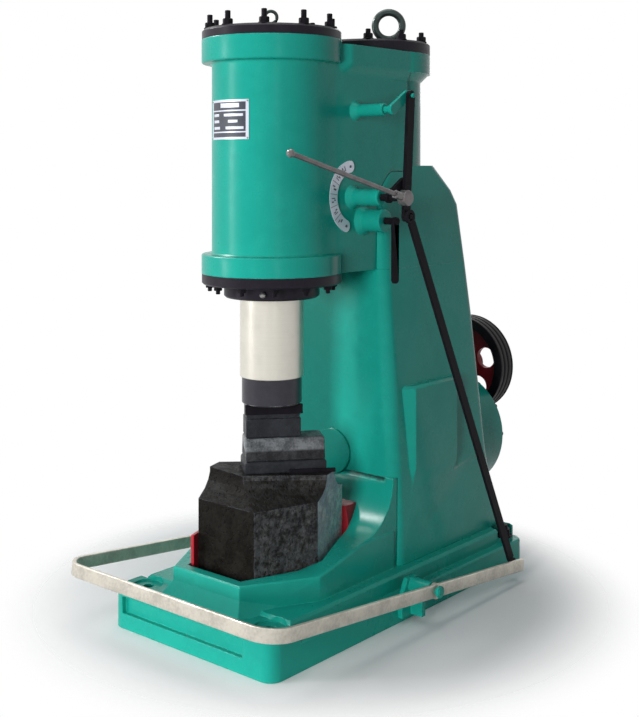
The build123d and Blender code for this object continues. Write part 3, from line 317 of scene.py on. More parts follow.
def build_tone_group():
    """Two tones of a finish mixed by slow and fine noise."""
    tree, entry, leave = socket_group("Tone", [
        ("Main", "NodeSocketColor", (0.5, 0.5, 0.5, 1)), ("Other", "NodeSocketColor", (0.4, 0.4, 0.4, 1)),
        ("Scale", "NodeSocketFloat", 5.0), ("Spread", "NodeSocketFloat", 0.5)],
        [("Colour", "NodeSocketColor"), ("Mask", "NodeSocketFloat")])
    place = tree.nodes.new("ShaderNodeTexCoord").outputs["Object"]
    slow = noise(tree, place, entry.outputs["Scale"], 5.0, 0.6)
    fine = noise(tree, place, math_node(tree, "MULTIPLY", entry.outputs["Scale"], 7.3), 3.0, 0.5)
    slow_share = math_node(tree, "MULTIPLY", slow, 0.7)
    both = math_node(tree, "ADD", slow_share, math_node(tree, "MULTIPLY", fine, 0.3))
    mask = math_node(tree, "MULTIPLY", ramp(tree, both, 0.38, 0.64), entry.outputs["Spread"])
    tree.links.new(mix(tree, mask, entry.outputs["Main"], entry.outputs["Other"]), leave.inputs["Colour"])
    tree.links.new(mask, leave.inputs["Mask"])
    return tree


def build_edge_wear_highlight_group():
    """Mask of the outer edges, from how far a rounded normal leans from the true one: edge wear with a
    painted highlight.
    """
    tree, entry, leave = socket_group("Edges", [("Radius", "NodeSocketFloat", 0.004)],
                                      [("Mask", "NodeSocketFloat"), ("Normal", "NodeSocketVector")])
    bevel = tree.nodes.new("ShaderNodeBevel")
    bevel.samples = 4
    tree.links.new(entry.outputs["Radius"], bevel.inputs["Radius"])
    true_normal = tree.nodes.new("ShaderNodeNewGeometry").outputs["True Normal"]
    dot = tree.nodes.new("ShaderNodeVectorMath")
    dot.operation = "DOT_PRODUCT"
    tree.links.new(bevel.outputs[0], dot.inputs[0])
    tree.links.new(true_normal, dot.inputs[1])
    lean = math_node(tree, "SUBTRACT", 1.0, dot.outputs["Value"])
    place = tree.nodes.new("ShaderNodeTexCoord").outputs["Object"]
    broken = ramp(tree, noise(tree, place, 42.0, 4.0), 0.36, 0.6)
    tree.links.new(math_node(tree, "MULTIPLY", ramp(tree, lean, 0.02, 0.22), broken), leave.inputs["Mask"])
    tree.links.new(bevel.outputs[0], leave.inputs["Normal"])
    return tree


def build_grain_group():
    """Height of a surface: slow waves, cast grain and pits."""
    tree, entry, leave = socket_group("Grain", [
        ("Waves", "NodeSocketFloat", 0.3), ("Grain", "NodeSocketFloat", 0.3),
        ("Pits", "NodeSocketFloat", 0.0), ("Scale", "NodeSocketFloat", 60.0)],
        [("Height", "NodeSocketFloat")])
    place = tree.nodes.new("ShaderNodeTexCoord").outputs["Object"]
    waves = math_node(tree, "MULTIPLY", noise(tree, place, 9.0, 2.0), entry.outputs["Waves"])
    cast = noise(tree, place, entry.outputs["Scale"], 6.0, 0.62)
    grain = math_node(tree, "MULTIPLY", cast, entry.outputs["Grain"])
    cells = tree.nodes.new("ShaderNodeTexVoronoi")
    tree.links.new(place, cells.inputs["Vector"])
    cells.inputs["Scale"].default_value = 85.0
    hollow = ramp(tree, cells.outputs["Distance"], 0.05, 0.34)
    pits = math_node(tree, "MULTIPLY", hollow, entry.outputs["Pits"])
    total = math_node(tree, "ADD", math_node(tree, "ADD", waves, grain), pits)
    tree.links.new(total, leave.inputs["Height"])
    return tree


def build_brushed_group():
    """Grinding lines: noise squeezed along one axis, as colour and height."""
    tree, entry, leave = socket_group("Brushed", [
        ("Squeeze", "NodeSocketVector", (6.0, 6.0, 600.0)), ("Main", "NodeSocketColor", (0.6, 0.6, 0.6, 1)),
        ("Other", "NodeSocketColor", (0.4, 0.4, 0.4, 1))],
        [("Colour", "NodeSocketColor"), ("Height", "NodeSocketFloat")])
    place = tree.nodes.new("ShaderNodeTexCoord").outputs["Object"]
    squeeze = tree.nodes.new("ShaderNodeVectorMath")
    squeeze.operation = "MULTIPLY"
    tree.links.new(place, squeeze.inputs[0])
    tree.links.new(entry.outputs["Squeeze"], squeeze.inputs[1])
    lines = noise(tree, squeeze.outputs[0], 1.0, 4.0, 0.6)
    stains = ramp(tree, noise(tree, place, 11.0, 4.0), 0.4, 0.72)
    line_share = math_node(tree, "MULTIPLY", lines, 0.5)
    mask = math_node(tree, "ADD", line_share, math_node(tree, "MULTIPLY", stains, 0.4), clamp=True)
    tree.links.new(mix(tree, mask, entry.outputs["Main"], entry.outputs["Other"]), leave.inputs["Colour"])
    tree.links.new(lines, leave.inputs["Height"])
    return tree


GROUPS = {}


def shared(name):
    """A node group by name, made once."""
    makers = {"Tone": build_tone_group, "Edges": build_edge_wear_highlight_group, "Grain": build_grain_group,
              "Brushed": build_brushed_group}
    if name not in GROUPS:
        GROUPS[name] = makers[name]()
    return GROUPS[name]


def place_group(tree, name, **values):
    """A shared group set into a material, with its inputs filled in."""
    node = tree.nodes.new("ShaderNodeGroup")
    node.node_tree = shared(name)
    for label, value in values.items():
        node.inputs[label].default_value = value
    return node


def finish_material(name, main, other, edge, tone_scale=5.0, spread=0.5, rough=(0.3, 0.42), metallic=0.0,
                    bump=(0.3, 0.2, 0.0, 60.0, 0.0006), edge_radius=0.004, specular=0.5, brushed=None,
                    zone=None, zone_main=(0, 0, 0, 1), zone_other=(0, 0, 0, 1)):
    """A painted, cast or machined finish.

    Its colour is two tones mixed by noise, with a third tone on the outer edges. The roughness
    follows the same mask. The bump lists waves, grain, pits, the grain's scale and the height in
    metres. A zone is a mask where two other tones, with no metal in them, lie over the first.
    """
    material = bpy.data.materials.new(name)
    material.use_nodes = True
    tree = material.node_tree
    shader = tree.nodes["Principled BSDF"]
    if brushed:
        tone = place_group(tree, "Brushed", Squeeze=brushed, Main=main, Other=other)
        mask = tone.outputs["Height"]
    else:
        tone = place_group(tree, "Tone", Main=main, Other=other, Scale=tone_scale, Spread=spread)
        mask = tone.outputs["Mask"]
    base = tone.outputs["Colour"]
    shader.inputs["Metallic"].default_value = metallic
    if zone:
        part = zone(tree)
        second = place_group(tree, "Tone", Main=zone_main, Other=zone_other, Scale=tone_scale * 1.3,
                             Spread=1.0)
        base = mix(tree, part, base, second.outputs["Colour"])
        share = math_node(tree, "MULTIPLY", part, -metallic)
        tree.links.new(math_node(tree, "ADD", share, metallic), shader.inputs["Metallic"])
    # Outer edges take the lighter edge colour: edge wear with a painted highlight.
    edges = place_group(tree, "Edges", Radius=edge_radius)
    tree.links.new(mix(tree, edges.outputs["Mask"], base, edge), shader.inputs["Base Color"])
    low, high = rough
    rough_value = math_node(tree, "ADD", math_node(tree, "MULTIPLY", mask, high - low), low)
    tree.links.new(rough_value, shader.inputs["Roughness"])
    shader.inputs["Specular IOR Level"].default_value = specular
    waves, cast, pits, grain_scale, distance = bump
    grain = place_group(tree, "Grain", Waves=waves, Grain=cast, Pits=pits, Scale=grain_scale)
    height = grain.outputs["Height"]
    if brushed:
        height = math_node(tree, "ADD", height, math_node(tree, "MULTIPLY", tone.outputs["Height"], 0.35))
    lift = tree.nodes.new("ShaderNodeBump")
    lift.inputs["Strength"].default_value = 1.0
    lift.inputs["Distance"].default_value = distance
    tree.links.new(height, lift.inputs["Height"])
    tree.links.new(edges.outputs["Normal"], lift.inputs["Normal"])
    tree.links.new(lift.outputs[0], shader.inputs["Normal"])
    return material


def height_zone(low, high):
    """Mask that falls from one below a height to nothing above another, on the piece's own coordinates."""
    def build(tree):
        split = tree.nodes.new("ShaderNodeSeparateXYZ")
        tree.links.new(tree.nodes.new("ShaderNodeTexCoord").outputs["Object"], split.inputs[0])
        return math_node(tree, "SUBTRACT", 1.0, ramp(tree, split.outputs["Z"], low, high))
    return build


def painted_light_zone(tree):
    """Mask of painted light and shade, read from the attribute that says how light each side of the casting
    is painted, mottled by noise.
    """
    node = tree.nodes.new("ShaderNodeAttribute")
    node.attribute_name = "painted_side_light"
    place = tree.nodes.new("ShaderNodeTexCoord").outputs["Object"]
    broken = ramp(tree, noise(tree, place, 52.0, 6.0, 0.7), 0.34, 0.66)
    tone = node.outputs["Fac"]
    gaps = math_node(tree, "SUBTRACT", 1.0, broken)
    least = math_node(tree, "MULTIPLY", math_node(tree, "MULTIPLY", tone, 0.7), gaps)
    return math_node(tree, "MULTIPLY", tone, math_node(tree, "ADD", broken, least))


def colour(values):
    """A colour with its fourth value."""
    return (values[0], values[1], values[2], 1.0)


def scaled(values, factor):
    """A colour made lighter or darker."""
    return tuple(min(1.0, v * factor) for v in values[:3]) + (1.0,)


MATERIALS = {}


def build_materials():
    """Every finish of the hammer, from the colours in its settings."""
    s = bpy.context.scene.hammer_colours
    green = colour(s.enamel)
    MATERIALS["enamel"] = finish_material(
        "Green enamel", green, scaled(s.enamel, 0.86), scaled(s.enamel, 1.7), 4.0, 0.7, (0.24, 0.36),
        bump=(0.9, 0.2, 0.0, 55.0, 0.0006), edge_radius=0.006, specular=0.17)
    MATERIALS["cover"] = finish_material(
        "Black cover paint", colour(s.cover), scaled(s.cover, 0.6), scaled(s.cover, 2.6), 9.0, 0.7,
        (0.34, 0.5), bump=(0.5, 0.5, 0.0, 70.0, 0.0006), edge_radius=0.003, specular=0.13)
    # The anvil's pale zone tones are painted light, laid on its sides by facing direction; the dark sides
    # carry painted shade.
    MATERIALS["anvil"] = finish_material(
        "Rough black casting", (0.006, 0.005, 0.004, 1), (0.016, 0.015, 0.013, 1), (0.10, 0.11, 0.13, 1),
        15.0, 1.0, (0.45, 0.75), bump=(0.6, 1.7, 0.9, 46.0, 0.0034), edge_radius=0.005, specular=0.05,
        zone=painted_light_zone, zone_main=(0.62, 0.66, 0.74, 1), zone_other=(1.0, 1.0, 1.0, 1))
    MATERIALS["die_steel"] = finish_material(
        "Blackened die", scaled(s.casting, 0.7), scaled(s.casting, 1.5), scaled(s.casting, 4.5), 14.0, 0.9,
        (0.4, 0.62), bump=(0.5, 0.9, 0.4, 60.0, 0.0016), edge_radius=0.004, specular=0.15)
    MATERIALS["lower_die"] = finish_material(
        "Scaled lower die", (0.20, 0.21, 0.22, 1), (0.07, 0.075, 0.08, 1), (0.34, 0.35, 0.36, 1), 26.0, 1.0,
        (0.36, 0.6), bump=(0.5, 1.1, 0.5, 60.0, 0.0018), edge_radius=0.004, specular=0.16,
        zone=height_zone(0.531, 0.540), zone_main=(0.012, 0.012, 0.013, 1),
        zone_other=(0.045, 0.046, 0.050, 1))
    MATERIALS["bright"] = finish_material(
        "Bright ground steel", colour(s.bright), scaled(s.bright, 0.74), scaled(s.bright, 1.1),
        rough=(0.26, 0.4), metallic=0.5, bump=(0.1, 0.1, 0.0, 80.0, 0.00025), brushed=(9.0, 9.0, 900.0),
        specular=0.3, zone=height_zone(0.7595, 0.7605), zone_main=(0.034, 0.033, 0.043, 1),
        zone_other=(0.024, 0.023, 0.030, 1))
    MATERIALS["grey"] = finish_material(
        "Machined grey steel", colour(s.grey), scaled(s.grey, 0.6), scaled(s.grey, 1.5), rough=(0.3, 0.45),
        metallic=0.8, bump=(0.2, 0.3, 0.0, 120.0, 0.0003), edge_radius=0.0015, brushed=(60.0, 60.0, 60.0))
    MATERIALS["eye_steel"] = finish_material(
        "Dark lifting eye", (0.040, 0.060, 0.055, 1), (0.020, 0.028, 0.026, 1), (0.22, 0.26, 0.25, 1),
        30.0, 0.8, (0.26, 0.4), metallic=0.45, bump=(0.2, 0.4, 0.0, 110.0, 0.0003), edge_radius=0.003,
        specular=0.4)
    MATERIALS["lever_steel"] = finish_material(
        "Worn lever steel", (0.17, 0.155, 0.155, 1), (0.10, 0.09, 0.092, 1), (0.42, 0.42, 0.43, 1), 30.0, 0.8,
        (0.28, 0.44), metallic=0.55, bump=(0.2, 0.3, 0.0, 120.0, 0.0003), edge_radius=0.002, specular=0.4)
    MATERIALS["black_steel"] = finish_material(
        "Blackened steel", colour(s.black), scaled(s.black, 2.0), scaled(s.black, 5.0), 24.0, 0.6,
        (0.45, 0.62), bump=(0.3, 0.5, 0.1, 110.0, 0.0005), edge_radius=0.0015, specular=0.05)
    MATERIALS["zinc"] = finish_material(
        "Dull zinc", colour(s.zinc), scaled(s.zinc, 0.66), scaled(s.zinc, 1.25), 16.0, 0.85, (0.34, 0.52),
        metallic=0.55, bump=(0.5, 0.6, 0.15, 90.0, 0.0007), edge_radius=0.002)
    MATERIALS["red"] = finish_material(
        "Red enamel", colour(s.red), scaled(s.red, 0.7), scaled(s.red, 1.7), 13.0, 0.7, (0.3, 0.45),
        bump=(0.5, 0.4, 0.0, 60.0, 0.0006), edge_radius=0.003, specular=0.15)
    MATERIALS["plate"] = finish_material(
        "Satin plate", colour(s.plate), scaled(s.plate, 0.84), scaled(s.plate, 1.1), rough=(0.3, 0.42),
        metallic=0.35, bump=(0.1, 0.1, 0.0, 150.0, 0.0001), edge_radius=0.001, brushed=(40.0, 40.0, 420.0))
    MATERIALS["ink"] = finish_material(
        "Dark print", (0.03, 0.035, 0.05, 1), (0.06, 0.06, 0.08, 1), (0.1, 0.1, 0.12, 1), 60.0, 0.5,
        (0.4, 0.5), bump=(0.0, 0.3, 0.0, 200.0, 0.0001), edge_radius=0.0005)
    MATERIALS["rubber"] = finish_material(
        "Belt rubber", (0.02, 0.02, 0.02, 1), (0.045, 0.043, 0.04, 1), (0.07, 0.07, 0.065, 1), 30.0, 0.8,
        (0.6, 0.78), bump=(0.2, 0.8, 0.2, 140.0, 0.0006), edge_radius=0.0015, specular=0.3)
    MATERIALS["motor"] = finish_material(
        "Motor enamel", scaled(s.enamel, 0.75), scaled(s.enamel, 0.6), scaled(s.enamel, 1.6), 10.0, 0.7,
        (0.32, 0.46), bump=(0.4, 0.6, 0.1, 80.0, 0.0008), edge_radius=0.0025, specular=0.35)


# Finish, rounding in metres and slot of each piece that keeps its own solid's form
SKINS = {
    "base_casting": ("enamel", 0.007, "green_paint"),
    "column_casting": ("enamel", 0.0, "green_paint"),
    "cylinder_housing": ("enamel", 0.0, "green_paint"),
    "working_cylinder": ("enamel", 0.0, "green_paint"),
    "compression_cylinder": ("enamel", 0.0, "green_paint"),
    "valve_chest": ("enamel", 0.0, "green_paint"),
    "front_cover": ("cover", 0.0, "black_cover"),
    "rear_cover": ("cover", 0.0, "black_cover"),
    "bottom_cover": ("cover", 0.0, "black_cover"),
    "front_eye_bolt": ("eye_steel", 0.0, "grey_steel"),
    "lifting_eye": ("eye_steel", 0.0, "grey_steel"),
    "gland_plug": ("grey", 0.0, "bright_steel"),
    "throat_cover": ("enamel", 0.0, "green_paint"),
    "anvil_block": ("anvil", 0.007, "black_casting"),
    "anvil_pad": ("die_steel", 0.004, "black_casting"),
    "pad_key": ("black_steel", 0.0015, "dark_steel"),
    "lower_die": ("lower_die", 0.004, "black_casting"),
    "packing_wedge_left": ("red", 0.002, "red_paint"),
    "packing_wedge_right": ("red", 0.002, "red_paint"),
    "gear_case": ("enamel", 0.0, "green_paint"),
    "shaft_housing": ("enamel", 0.003, "green_paint"),
    "motor_bracket": ("enamel", 0.002, "green_paint"),
    "motor": ("motor", 0.0, "motor_paint"),
    "drive_belts": ("rubber", 0.0, "belt_rubber"),
    "treadle_bracket_left": ("enamel", 0.003, "green_paint"),
    "treadle_bracket_right": ("enamel", 0.003, "green_paint"),
    "anchor_nuts": ("black_steel", 0.001, "dark_steel"),
    "ram": ("bright", 0.0, "bright_steel"),
    "upper_die": ("die_steel", 0.003, "black_casting"),
    "upper_die_key": ("black_steel", 0.002, "dark_steel"),
    "treadle": ("zinc", 0.0, "zinc_bar"),
    "control_lever": ("lever_steel", 0.0, "grey_steel"),
    "control_crank": ("black_steel", 0.0015, "grey_steel"),
    "link_bar": ("black_steel", 0.0015, "dark_steel"),
    "upper_crank": ("enamel", 0.0015, "green_paint"),
    "pull_rod": ("black_steel", 0.0015, "dark_steel"),
    "idle_valve_handle": ("black_steel", 0.002, "dark_steel"),
    "pulley_rim": ("black_steel", 0.001, "dark_steel"),
    "pulley_web": ("red", 0.0015, "red_paint"),
    "motor_pulley": ("black_steel", 0.001, "dark_steel"),
}


def skin(name):
    """The solid's own surface with its facets merged, its curves smoothed and its edges rounded."""
    finish, rounding, slot = SKINS[name]
    source = frame["nodes"][name]
    mesh = bpy.data.meshes.new(name + "_skin")
    work = bmesh.new()
    work.from_mesh(source.data)
    bmesh.ops.remove_doubles(work, verts=work.verts, dist=1e-5)
    bmesh.ops.dissolve_limit(work, angle_limit=math.radians(0.4), verts=work.verts, edges=work.edges)
    work.to_mesh(mesh)
    work.free()
    if "custom_normal" in mesh.attributes:
        mesh.attributes.remove(mesh.attributes["custom_normal"])
    mesh.polygons.foreach_set("use_smooth", np.ones(len(mesh.polygons), dtype=bool))
    mesh.set_sharp_from_angle(angle=math.radians(32))
    obj = bpy.data.objects.new(name + "_skin", mesh)
    bpy.context.scene.collection.objects.link(obj)
    mesh.materials.clear()
    mesh.materials.append(MATERIALS[finish])
    # The anvil's sides get painted light and shade by facing direction.
    if name == "anvil_block":
        paint_anvil_side_light(mesh)
    if rounding:
        modifier = obj.modifiers.new("Rounded edges", "BEVEL")
        modifier.width = rounding
        modifier.segments = 3
        modifier.limit_method = "ANGLE"
        modifier.angle_limit = math.radians(34)
        modifier.use_clamp_overlap = True
    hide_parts(name)
    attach(obj, source["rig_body"])
    return obj


def paint_anvil_side_light(mesh):
    """Write the painted light and shade of each side of the anvil: dark in front, pale towards the column."""
    normals = np.empty(len(mesh.polygons) * 3)
    mesh.polygons.foreach_get("normal", normals)
    normals = normals.reshape(-1, 3)
    turn = np.degrees(np.arctan2(normals[:, 1], normals[:, 0]))
    tone = np.interp(turn, [-180, -95, -62, -58, -2, 2, 60, 180], [0.1, 0.0, 0.0, 0.07, 0.12, 1.0, 0.9, 0.1])
    # Upward slopes on the dark sides, and the top, are given painted shade.
    sloping = (normals[:, 2] > 0.1) & (tone < 0.5)
    tone = np.where(sloping, np.where(turn < -60, 0.0, 0.03), tone)
    tone = np.where(normals[:, 2] > 0.8, 0.02, tone)
    layer = mesh.attributes.new("painted_side_light", "FLOAT", "FACE")
    layer.data.foreach_set("value", tone)


class HammerColours(bpy.types.PropertyGroup):
    """Colours of the hammer's finishes."""
    enamel: bpy.props.FloatVectorProperty(name="Enamel", description="Green enamel of the castings",
                                          subtype="COLOR", size=3, default=(0.010, 0.355, 0.280))
    cover: bpy.props.FloatVectorProperty(name="Covers", description="Black paint of the covers",
                                         subtype="COLOR", size=3, default=(0.017, 0.014, 0.021))
    casting: bpy.props.FloatVectorProperty(name="Casting", description="Rough black of upper die and pad",
                                           subtype="COLOR", size=3, default=(0.022, 0.024, 0.028))
    bright: bpy.props.FloatVectorProperty(name="Bright steel", description="Ground steel of the ram",
                                          subtype="COLOR", size=3, default=(0.72, 0.69, 0.61))
    grey: bpy.props.FloatVectorProperty(name="Grey steel", description="Machined steel of plug and rivets",
                                        subtype="COLOR", size=3, default=(0.34, 0.33, 0.33))
    black: bpy.props.FloatVectorProperty(name="Black steel", description="Blackened bars and nuts",
                                         subtype="COLOR", size=3, default=(0.008, 0.007, 0.009))
    zinc: bpy.props.FloatVectorProperty(name="Zinc", description="Dull zinc of the treadle", subtype="COLOR",
                                        size=3, default=(0.62, 0.58, 0.50))
    red: bpy.props.FloatVectorProperty(name="Red", description="Red paint of wedges and pulley",
                                       subtype="COLOR", size=3, default=(0.50, 0.03, 0.045))
    plate: bpy.props.FloatVectorProperty(name="Plates", description="Metal of the plates", subtype="COLOR",
                                         size=3, default=(0.70, 0.73, 0.82))


class HammerSizes(bpy.types.PropertyGroup):
    """Sizes of the covers' fastenings, and levels of the light."""
    stud_radius: bpy.props.FloatProperty(name="Stud radius", description="Radius of a cover stud",
                                         default=0.009, unit="LENGTH")
    nut_radius: bpy.props.FloatProperty(name="Nut radius", description="Radius over a nut's corners",
                                        default=0.016, unit="LENGTH")
    key_power: bpy.props.FloatProperty(name="Key light", description="Power of the key light in watts",
                                       default=215.0)
    fill_level: bpy.props.FloatProperty(name="Fill", description="Level of the light from all round",
                                        default=0.09, subtype="FACTOR")


class HammerSkins(bpy.types.Operator):
    """Give every solid its finish"""
    bl_idname = "hammer.skins"
    bl_label = "Castings and bars"

    def execute(self, context):
        build_materials()
        for name in SKINS:
            skin(name)
        return {"FINISHED"}


def nut_points(radius, height, steps=48):
    """A six-sided nut with bevelled corners: the hexagon radius drawn in at both faces."""
    angle = np.linspace(0, 2 * math.pi, steps, endpoint=False)
    sector = np.abs((angle % (math.pi / 3)) - math.pi / 6)
    hexagon = radius * math.cos(math.pi / 6) / np.cos(math.pi / 6 - sector)
    circle = radius * math.cos(math.pi / 6) * 1.02
    rows, heights = [np.zeros(steps)], [0.0]
    for share, level in ((0.6, 0.0), (1.0, 0.0), (1.0, 0.12), (1.0, 0.86), (1.0, 1.0), (0.6, 1.0)):
        shape = np.minimum(hexagon, circle) if level in (0.0, 1.0) else hexagon
        rows.append(shape * share)
        heights.append(level * height)
    rows.append(np.zeros(steps))
    heights.append(height)
    radius_grid = np.array(rows)
    z = np.repeat(np.array(heights)[:, None], steps, 1)
    points = np.stack([radius_grid * np.cos(angle), radius_grid * np.sin(angle), z], -1)
    return points, node_faces(len(rows), steps, False, True)


def thread_points(radius, height, pitch=0.0022):
    """A stud end: a round bar whose radius rises and falls along its length, with a bevelled tip."""
    turns = max(3, int(height / pitch))
    z = np.linspace(0, height, turns * 4 + 1)
    ridge = radius * (0.95 + 0.05 * np.cos(2 * math.pi * z / (height / turns)))
    ridge[-3:] = radius * np.array([0.93, 0.86, 0.76])
    profile = np.concatenate([[[0, 0]], np.stack([ridge, z], 1), [[0, height]]])
    return turned(profile, 20)


def washer_points(radius, height):
    """A flat washer with its upper edge drawn in."""
    return turned([(0, 0), (radius, 0), (radius, height * 0.7), (radius * 0.96, height), (0, height)], 32)


def fastening(origin, axis, stud_r, nut_r, nut_h, reach):
    """A washer, a nut and a stud end, one on the other."""
    origin = np.asarray(origin)
    lift = np.asarray(axis, float)
    washer, washer_faces = washer_points(nut_r * 1.16, WASHER_THICK)
    nut, nut_faces = nut_points(nut_r, nut_h)
    stud, stud_faces = thread_points(stud_r, reach - nut_h - WASHER_THICK)
    return [(placed(washer, origin, axis), washer_faces),
            (placed(nut, origin + lift * WASHER_THICK, axis), nut_faces),
            (placed(stud, origin + lift * (WASHER_THICK + nut_h), axis), stud_faces)]


class HammerFastenings(bpy.types.Operator):
    """Add studs, nuts and screws where the covers are held down"""
    bl_idname = "hammer.fastenings"
    bl_label = "Studs and nuts"

    def execute(self, context):
        sizes = context.scene.hammer_sizes
        cover_stud = (sizes.stud_radius, sizes.nut_radius, COVER_NUT_HEIGHT)
        self.covers(cover_stud)
        self.gear_case()
        return {"FINISHED"}

    def covers(self, cover_stud):
        """The rings on the two upper covers and, pointing down, on the lower one."""
        front = []
        for x, y in ring_places(*FRONT_RING):
            front += fastening((x, y, FRONT_COVER_TOP), (0, 0, 1), *cover_stud, FRONT_STUD_REACH)
        self.add("front_cover_nuts", front, "front_cover_studs")
        rear = []
        for x, along in ring_places(*REAR_RING):
            y = REAR_AXIS_Y + along
            if math.hypot(x, y) > FRONT_FLANGE_CLEAR:
                rear += fastening((x, y, REAR_COVER_TOP), (0, 0, 1), *cover_stud, REAR_STUD_REACH)
        self.add("rear_cover_nuts", rear, "rear_cover_studs")
        low = []
        for x, y in ring_places(*LOW_RING):
            low += fastening((x, y, LOW_COVER_Z), (0, 0, -1), *LOW_BOLT)
        self.add("lower_cover_nuts", low, "bottom_cover_nuts")

    def gear_case(self):
        """The case's rim, without what the pinion's cap covers, and its two caps."""
        case = []
        for x, up in ring_places(*CASE_RING):
            z = GEAR_AXIS_Z + up
            if math.hypot(x, z - PINION_AXIS_Z) > PINION_CLEAR:
                case += fastening((x, GEAR_CASE_BACK, z), (0, 1, 0), *CASE_BOLT)
        for x, up in ring_places(*CASE_CAP_RING):
            place = (x, GEAR_CASE_BACK + CASE_CAP_HEIGHT, GEAR_AXIS_Z + up)
            case += fastening(place, (0, 1, 0), *CASE_BOLT)
        for x, up in ring_places(*PINION_CAP_RING):
            place = (x, GEAR_CASE_BACK + PINION_CAP_HEIGHT, PINION_AXIS_Z + up)
            case += fastening(place, (0, 1, 0), *PINION_BOLT)
        self.add("gear_case_bolts", case)

    def add(self, name, parts, replaced=None):
        obj = new_object(name, *copies(parts), MATERIALS["black_steel"])
        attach(obj, "frame")
        if replaced:
            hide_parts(replaced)


class HammerPlates(bpy.types.Operator):
    """Add the two plates with their plain marks and rivets"""
    bl_idname = "hammer.plates"
    bl_label = "Plates"

    def execute(self, context):
        self.scale_band()
        self.scale_marks()
        self.nameplate()
        return {"FINISHED"}

    def add(self, name, points, faces, finish, replaced=None, smooth_angle=35.0):
        obj = new_object(name, points, faces, MATERIALS[finish], smooth_angle)
        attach(obj, "frame")
        if replaced:
            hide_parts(replaced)

    def scale_band(self):
        """The arc behind the lever: an outline of two arcs and two half circles, given a thickness."""
        first, last = SCALE_ENDS
        turn = np.linspace(first, last, 60)
        rim = self.arc((0, 0), SCALE_MIDDLE_R + SCALE_HALF_WIDTH, turn)
        rim += self.round_end(last, 0.0)
        rim += self.arc((0, 0), SCALE_MIDDLE_R - SCALE_HALF_WIDTH, turn[::-1])
        rim += self.round_end(first, math.pi)
        rim = np.array(rim) + CONTROL_AXIS
        count = len(rim)
        front = np.column_stack([np.full(count, SCALE_FACE_X), rim])
        rear = np.column_stack([np.full(count, SCALE_FACE_X - SCALE_THICK), rim])
        faces = [list(range(count)), list(range(2 * count - 1, count - 1, -1))]
        faces += node_faces(2, count, False, True).tolist()
        self.add("scale_band", np.concatenate([front, rear]), faces, "plate", "scale_plate", 0.0)

    def arc(self, centre, radius, angles):
        return [(centre[0] + radius * math.cos(a), centre[1] + radius * math.sin(a)) for a in angles]

    def round_end(self, angle, start):
        """Half a circle at one end of the band, without the two points that the arcs already have."""
        centre = (SCALE_MIDDLE_R * math.cos(angle), SCALE_MIDDLE_R * math.sin(angle))
        return self.arc(centre, SCALE_HALF_WIDTH, np.linspace(0, math.pi, 14)[1:-1] + angle + start)

    def scale_marks(self):
        """Plain marks between the scale's dividing lines, and its two rivets."""
        marks = []
        for index in range(6):
            angle = math.radians(SCALE_FIRST + index * SCALE_STEP)
            if index > 0:
                marks.append(self.mark(angle, *SCALE_LINE))
            for turn_by, inner, outer, half in SCALE_MARKS[index % 3]:
                marks.append(self.mark(angle + math.radians(SCALE_MARK_TURN + turn_by), inner, outer, half))
        self.add("scale_marks", *copies(marks), "ink")
        rivets = []
        for y, z in self.arc(CONTROL_AXIS, SCALE_MIDDLE_R, SCALE_ENDS):
            rivets.append(self.rivet((SCALE_FACE_X, y, z), (1, 0, 0), SCALE_RIVET_R))
        self.add("scale_rivets", *copies(rivets), "ink")

    def rivet(self, place, axis, radius):
        """A low round head."""
        profile = [(0, radius * 0.7), (radius * 0.5, radius * 0.62), (radius * 0.86, radius * 0.36),
                   (radius, 0), (0, 0)]
        points, faces = turned(profile, 16)
        return placed(points, place, axis), faces

    def mark(self, angle, inner, outer, half):
        """A thin bar that lies along a radius of the scale."""
        along = np.array([0, math.cos(angle), math.sin(angle)])
        across = np.array([0, -math.sin(angle), math.cos(angle)])
        centre = np.array([SCALE_FACE_X, *CONTROL_AXIS])
        low = [centre + along * r + across * s * half for r in (inner, outer) for s in (-1, 1)]
        high = [p + np.array([MARK_THICK, 0, 0]) for p in low]
        return np.array(low + high), BOX_FACES

    def nameplate(self):
        """A bent plate with a pale border, dark fields, plain pale bars and four rivets."""
        half = NAMEPLATE_HALF_WIDTH / BARREL_R
        middle = sum(v.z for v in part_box("nameplate")) / 2 - NAMEPLATE_DROP
        top = BARREL_R + NAMEPLATE_THICK

        def strip(left, right, bottom, high, outer, inner):
            """A strip between shares of the plate's half width and heights from its middle."""
            return self.bent_bar(NAMEPLATE_TURN + left * half, NAMEPLATE_TURN + right * half,
                                 middle + bottom, middle + high, outer, inner)

        plate = [strip(-1, 1, -NAMEPLATE_HALF_HEIGHT, NAMEPLATE_HALF_HEIGHT, top, BARREL_R - LAYER_SUNK)]
        self.add("nameplate_sheet", *copies(plate), "plate", "nameplate")
        fields = [strip(*field, top + FIELD_PROUD, top - LAYER_SUNK) for field in NAMEPLATE_FIELDS]
        self.add("nameplate_fields", *copies(fields), "ink")
        pale = [strip(*NAMEPLATE_HEAD, top + BAR_PROUD, top + BAR_START)]
        for left, right, z in NAMEPLATE_LINES:
            pale.append(strip(left, right, z - NAMEPLATE_LINE_LOW, z + NAMEPLATE_LINE_HIGH,
                              top + BAR_PROUD, top + BAR_START))
        self.add("nameplate_bars", *copies(pale), "plate")
        across, up = NAMEPLATE_RIVET
        rivets = []
        for side in (-across, across):
            for z in (-up, up):
                angle = NAMEPLATE_TURN + side * half
                axis = (math.cos(angle), math.sin(angle), 0)
                place = (top * axis[0], top * axis[1], middle + z)
                rivets.append(self.rivet(place, axis, NAMEPLATE_RIVET_R))
        self.add("nameplate_rivets", *copies(rivets), "grey")

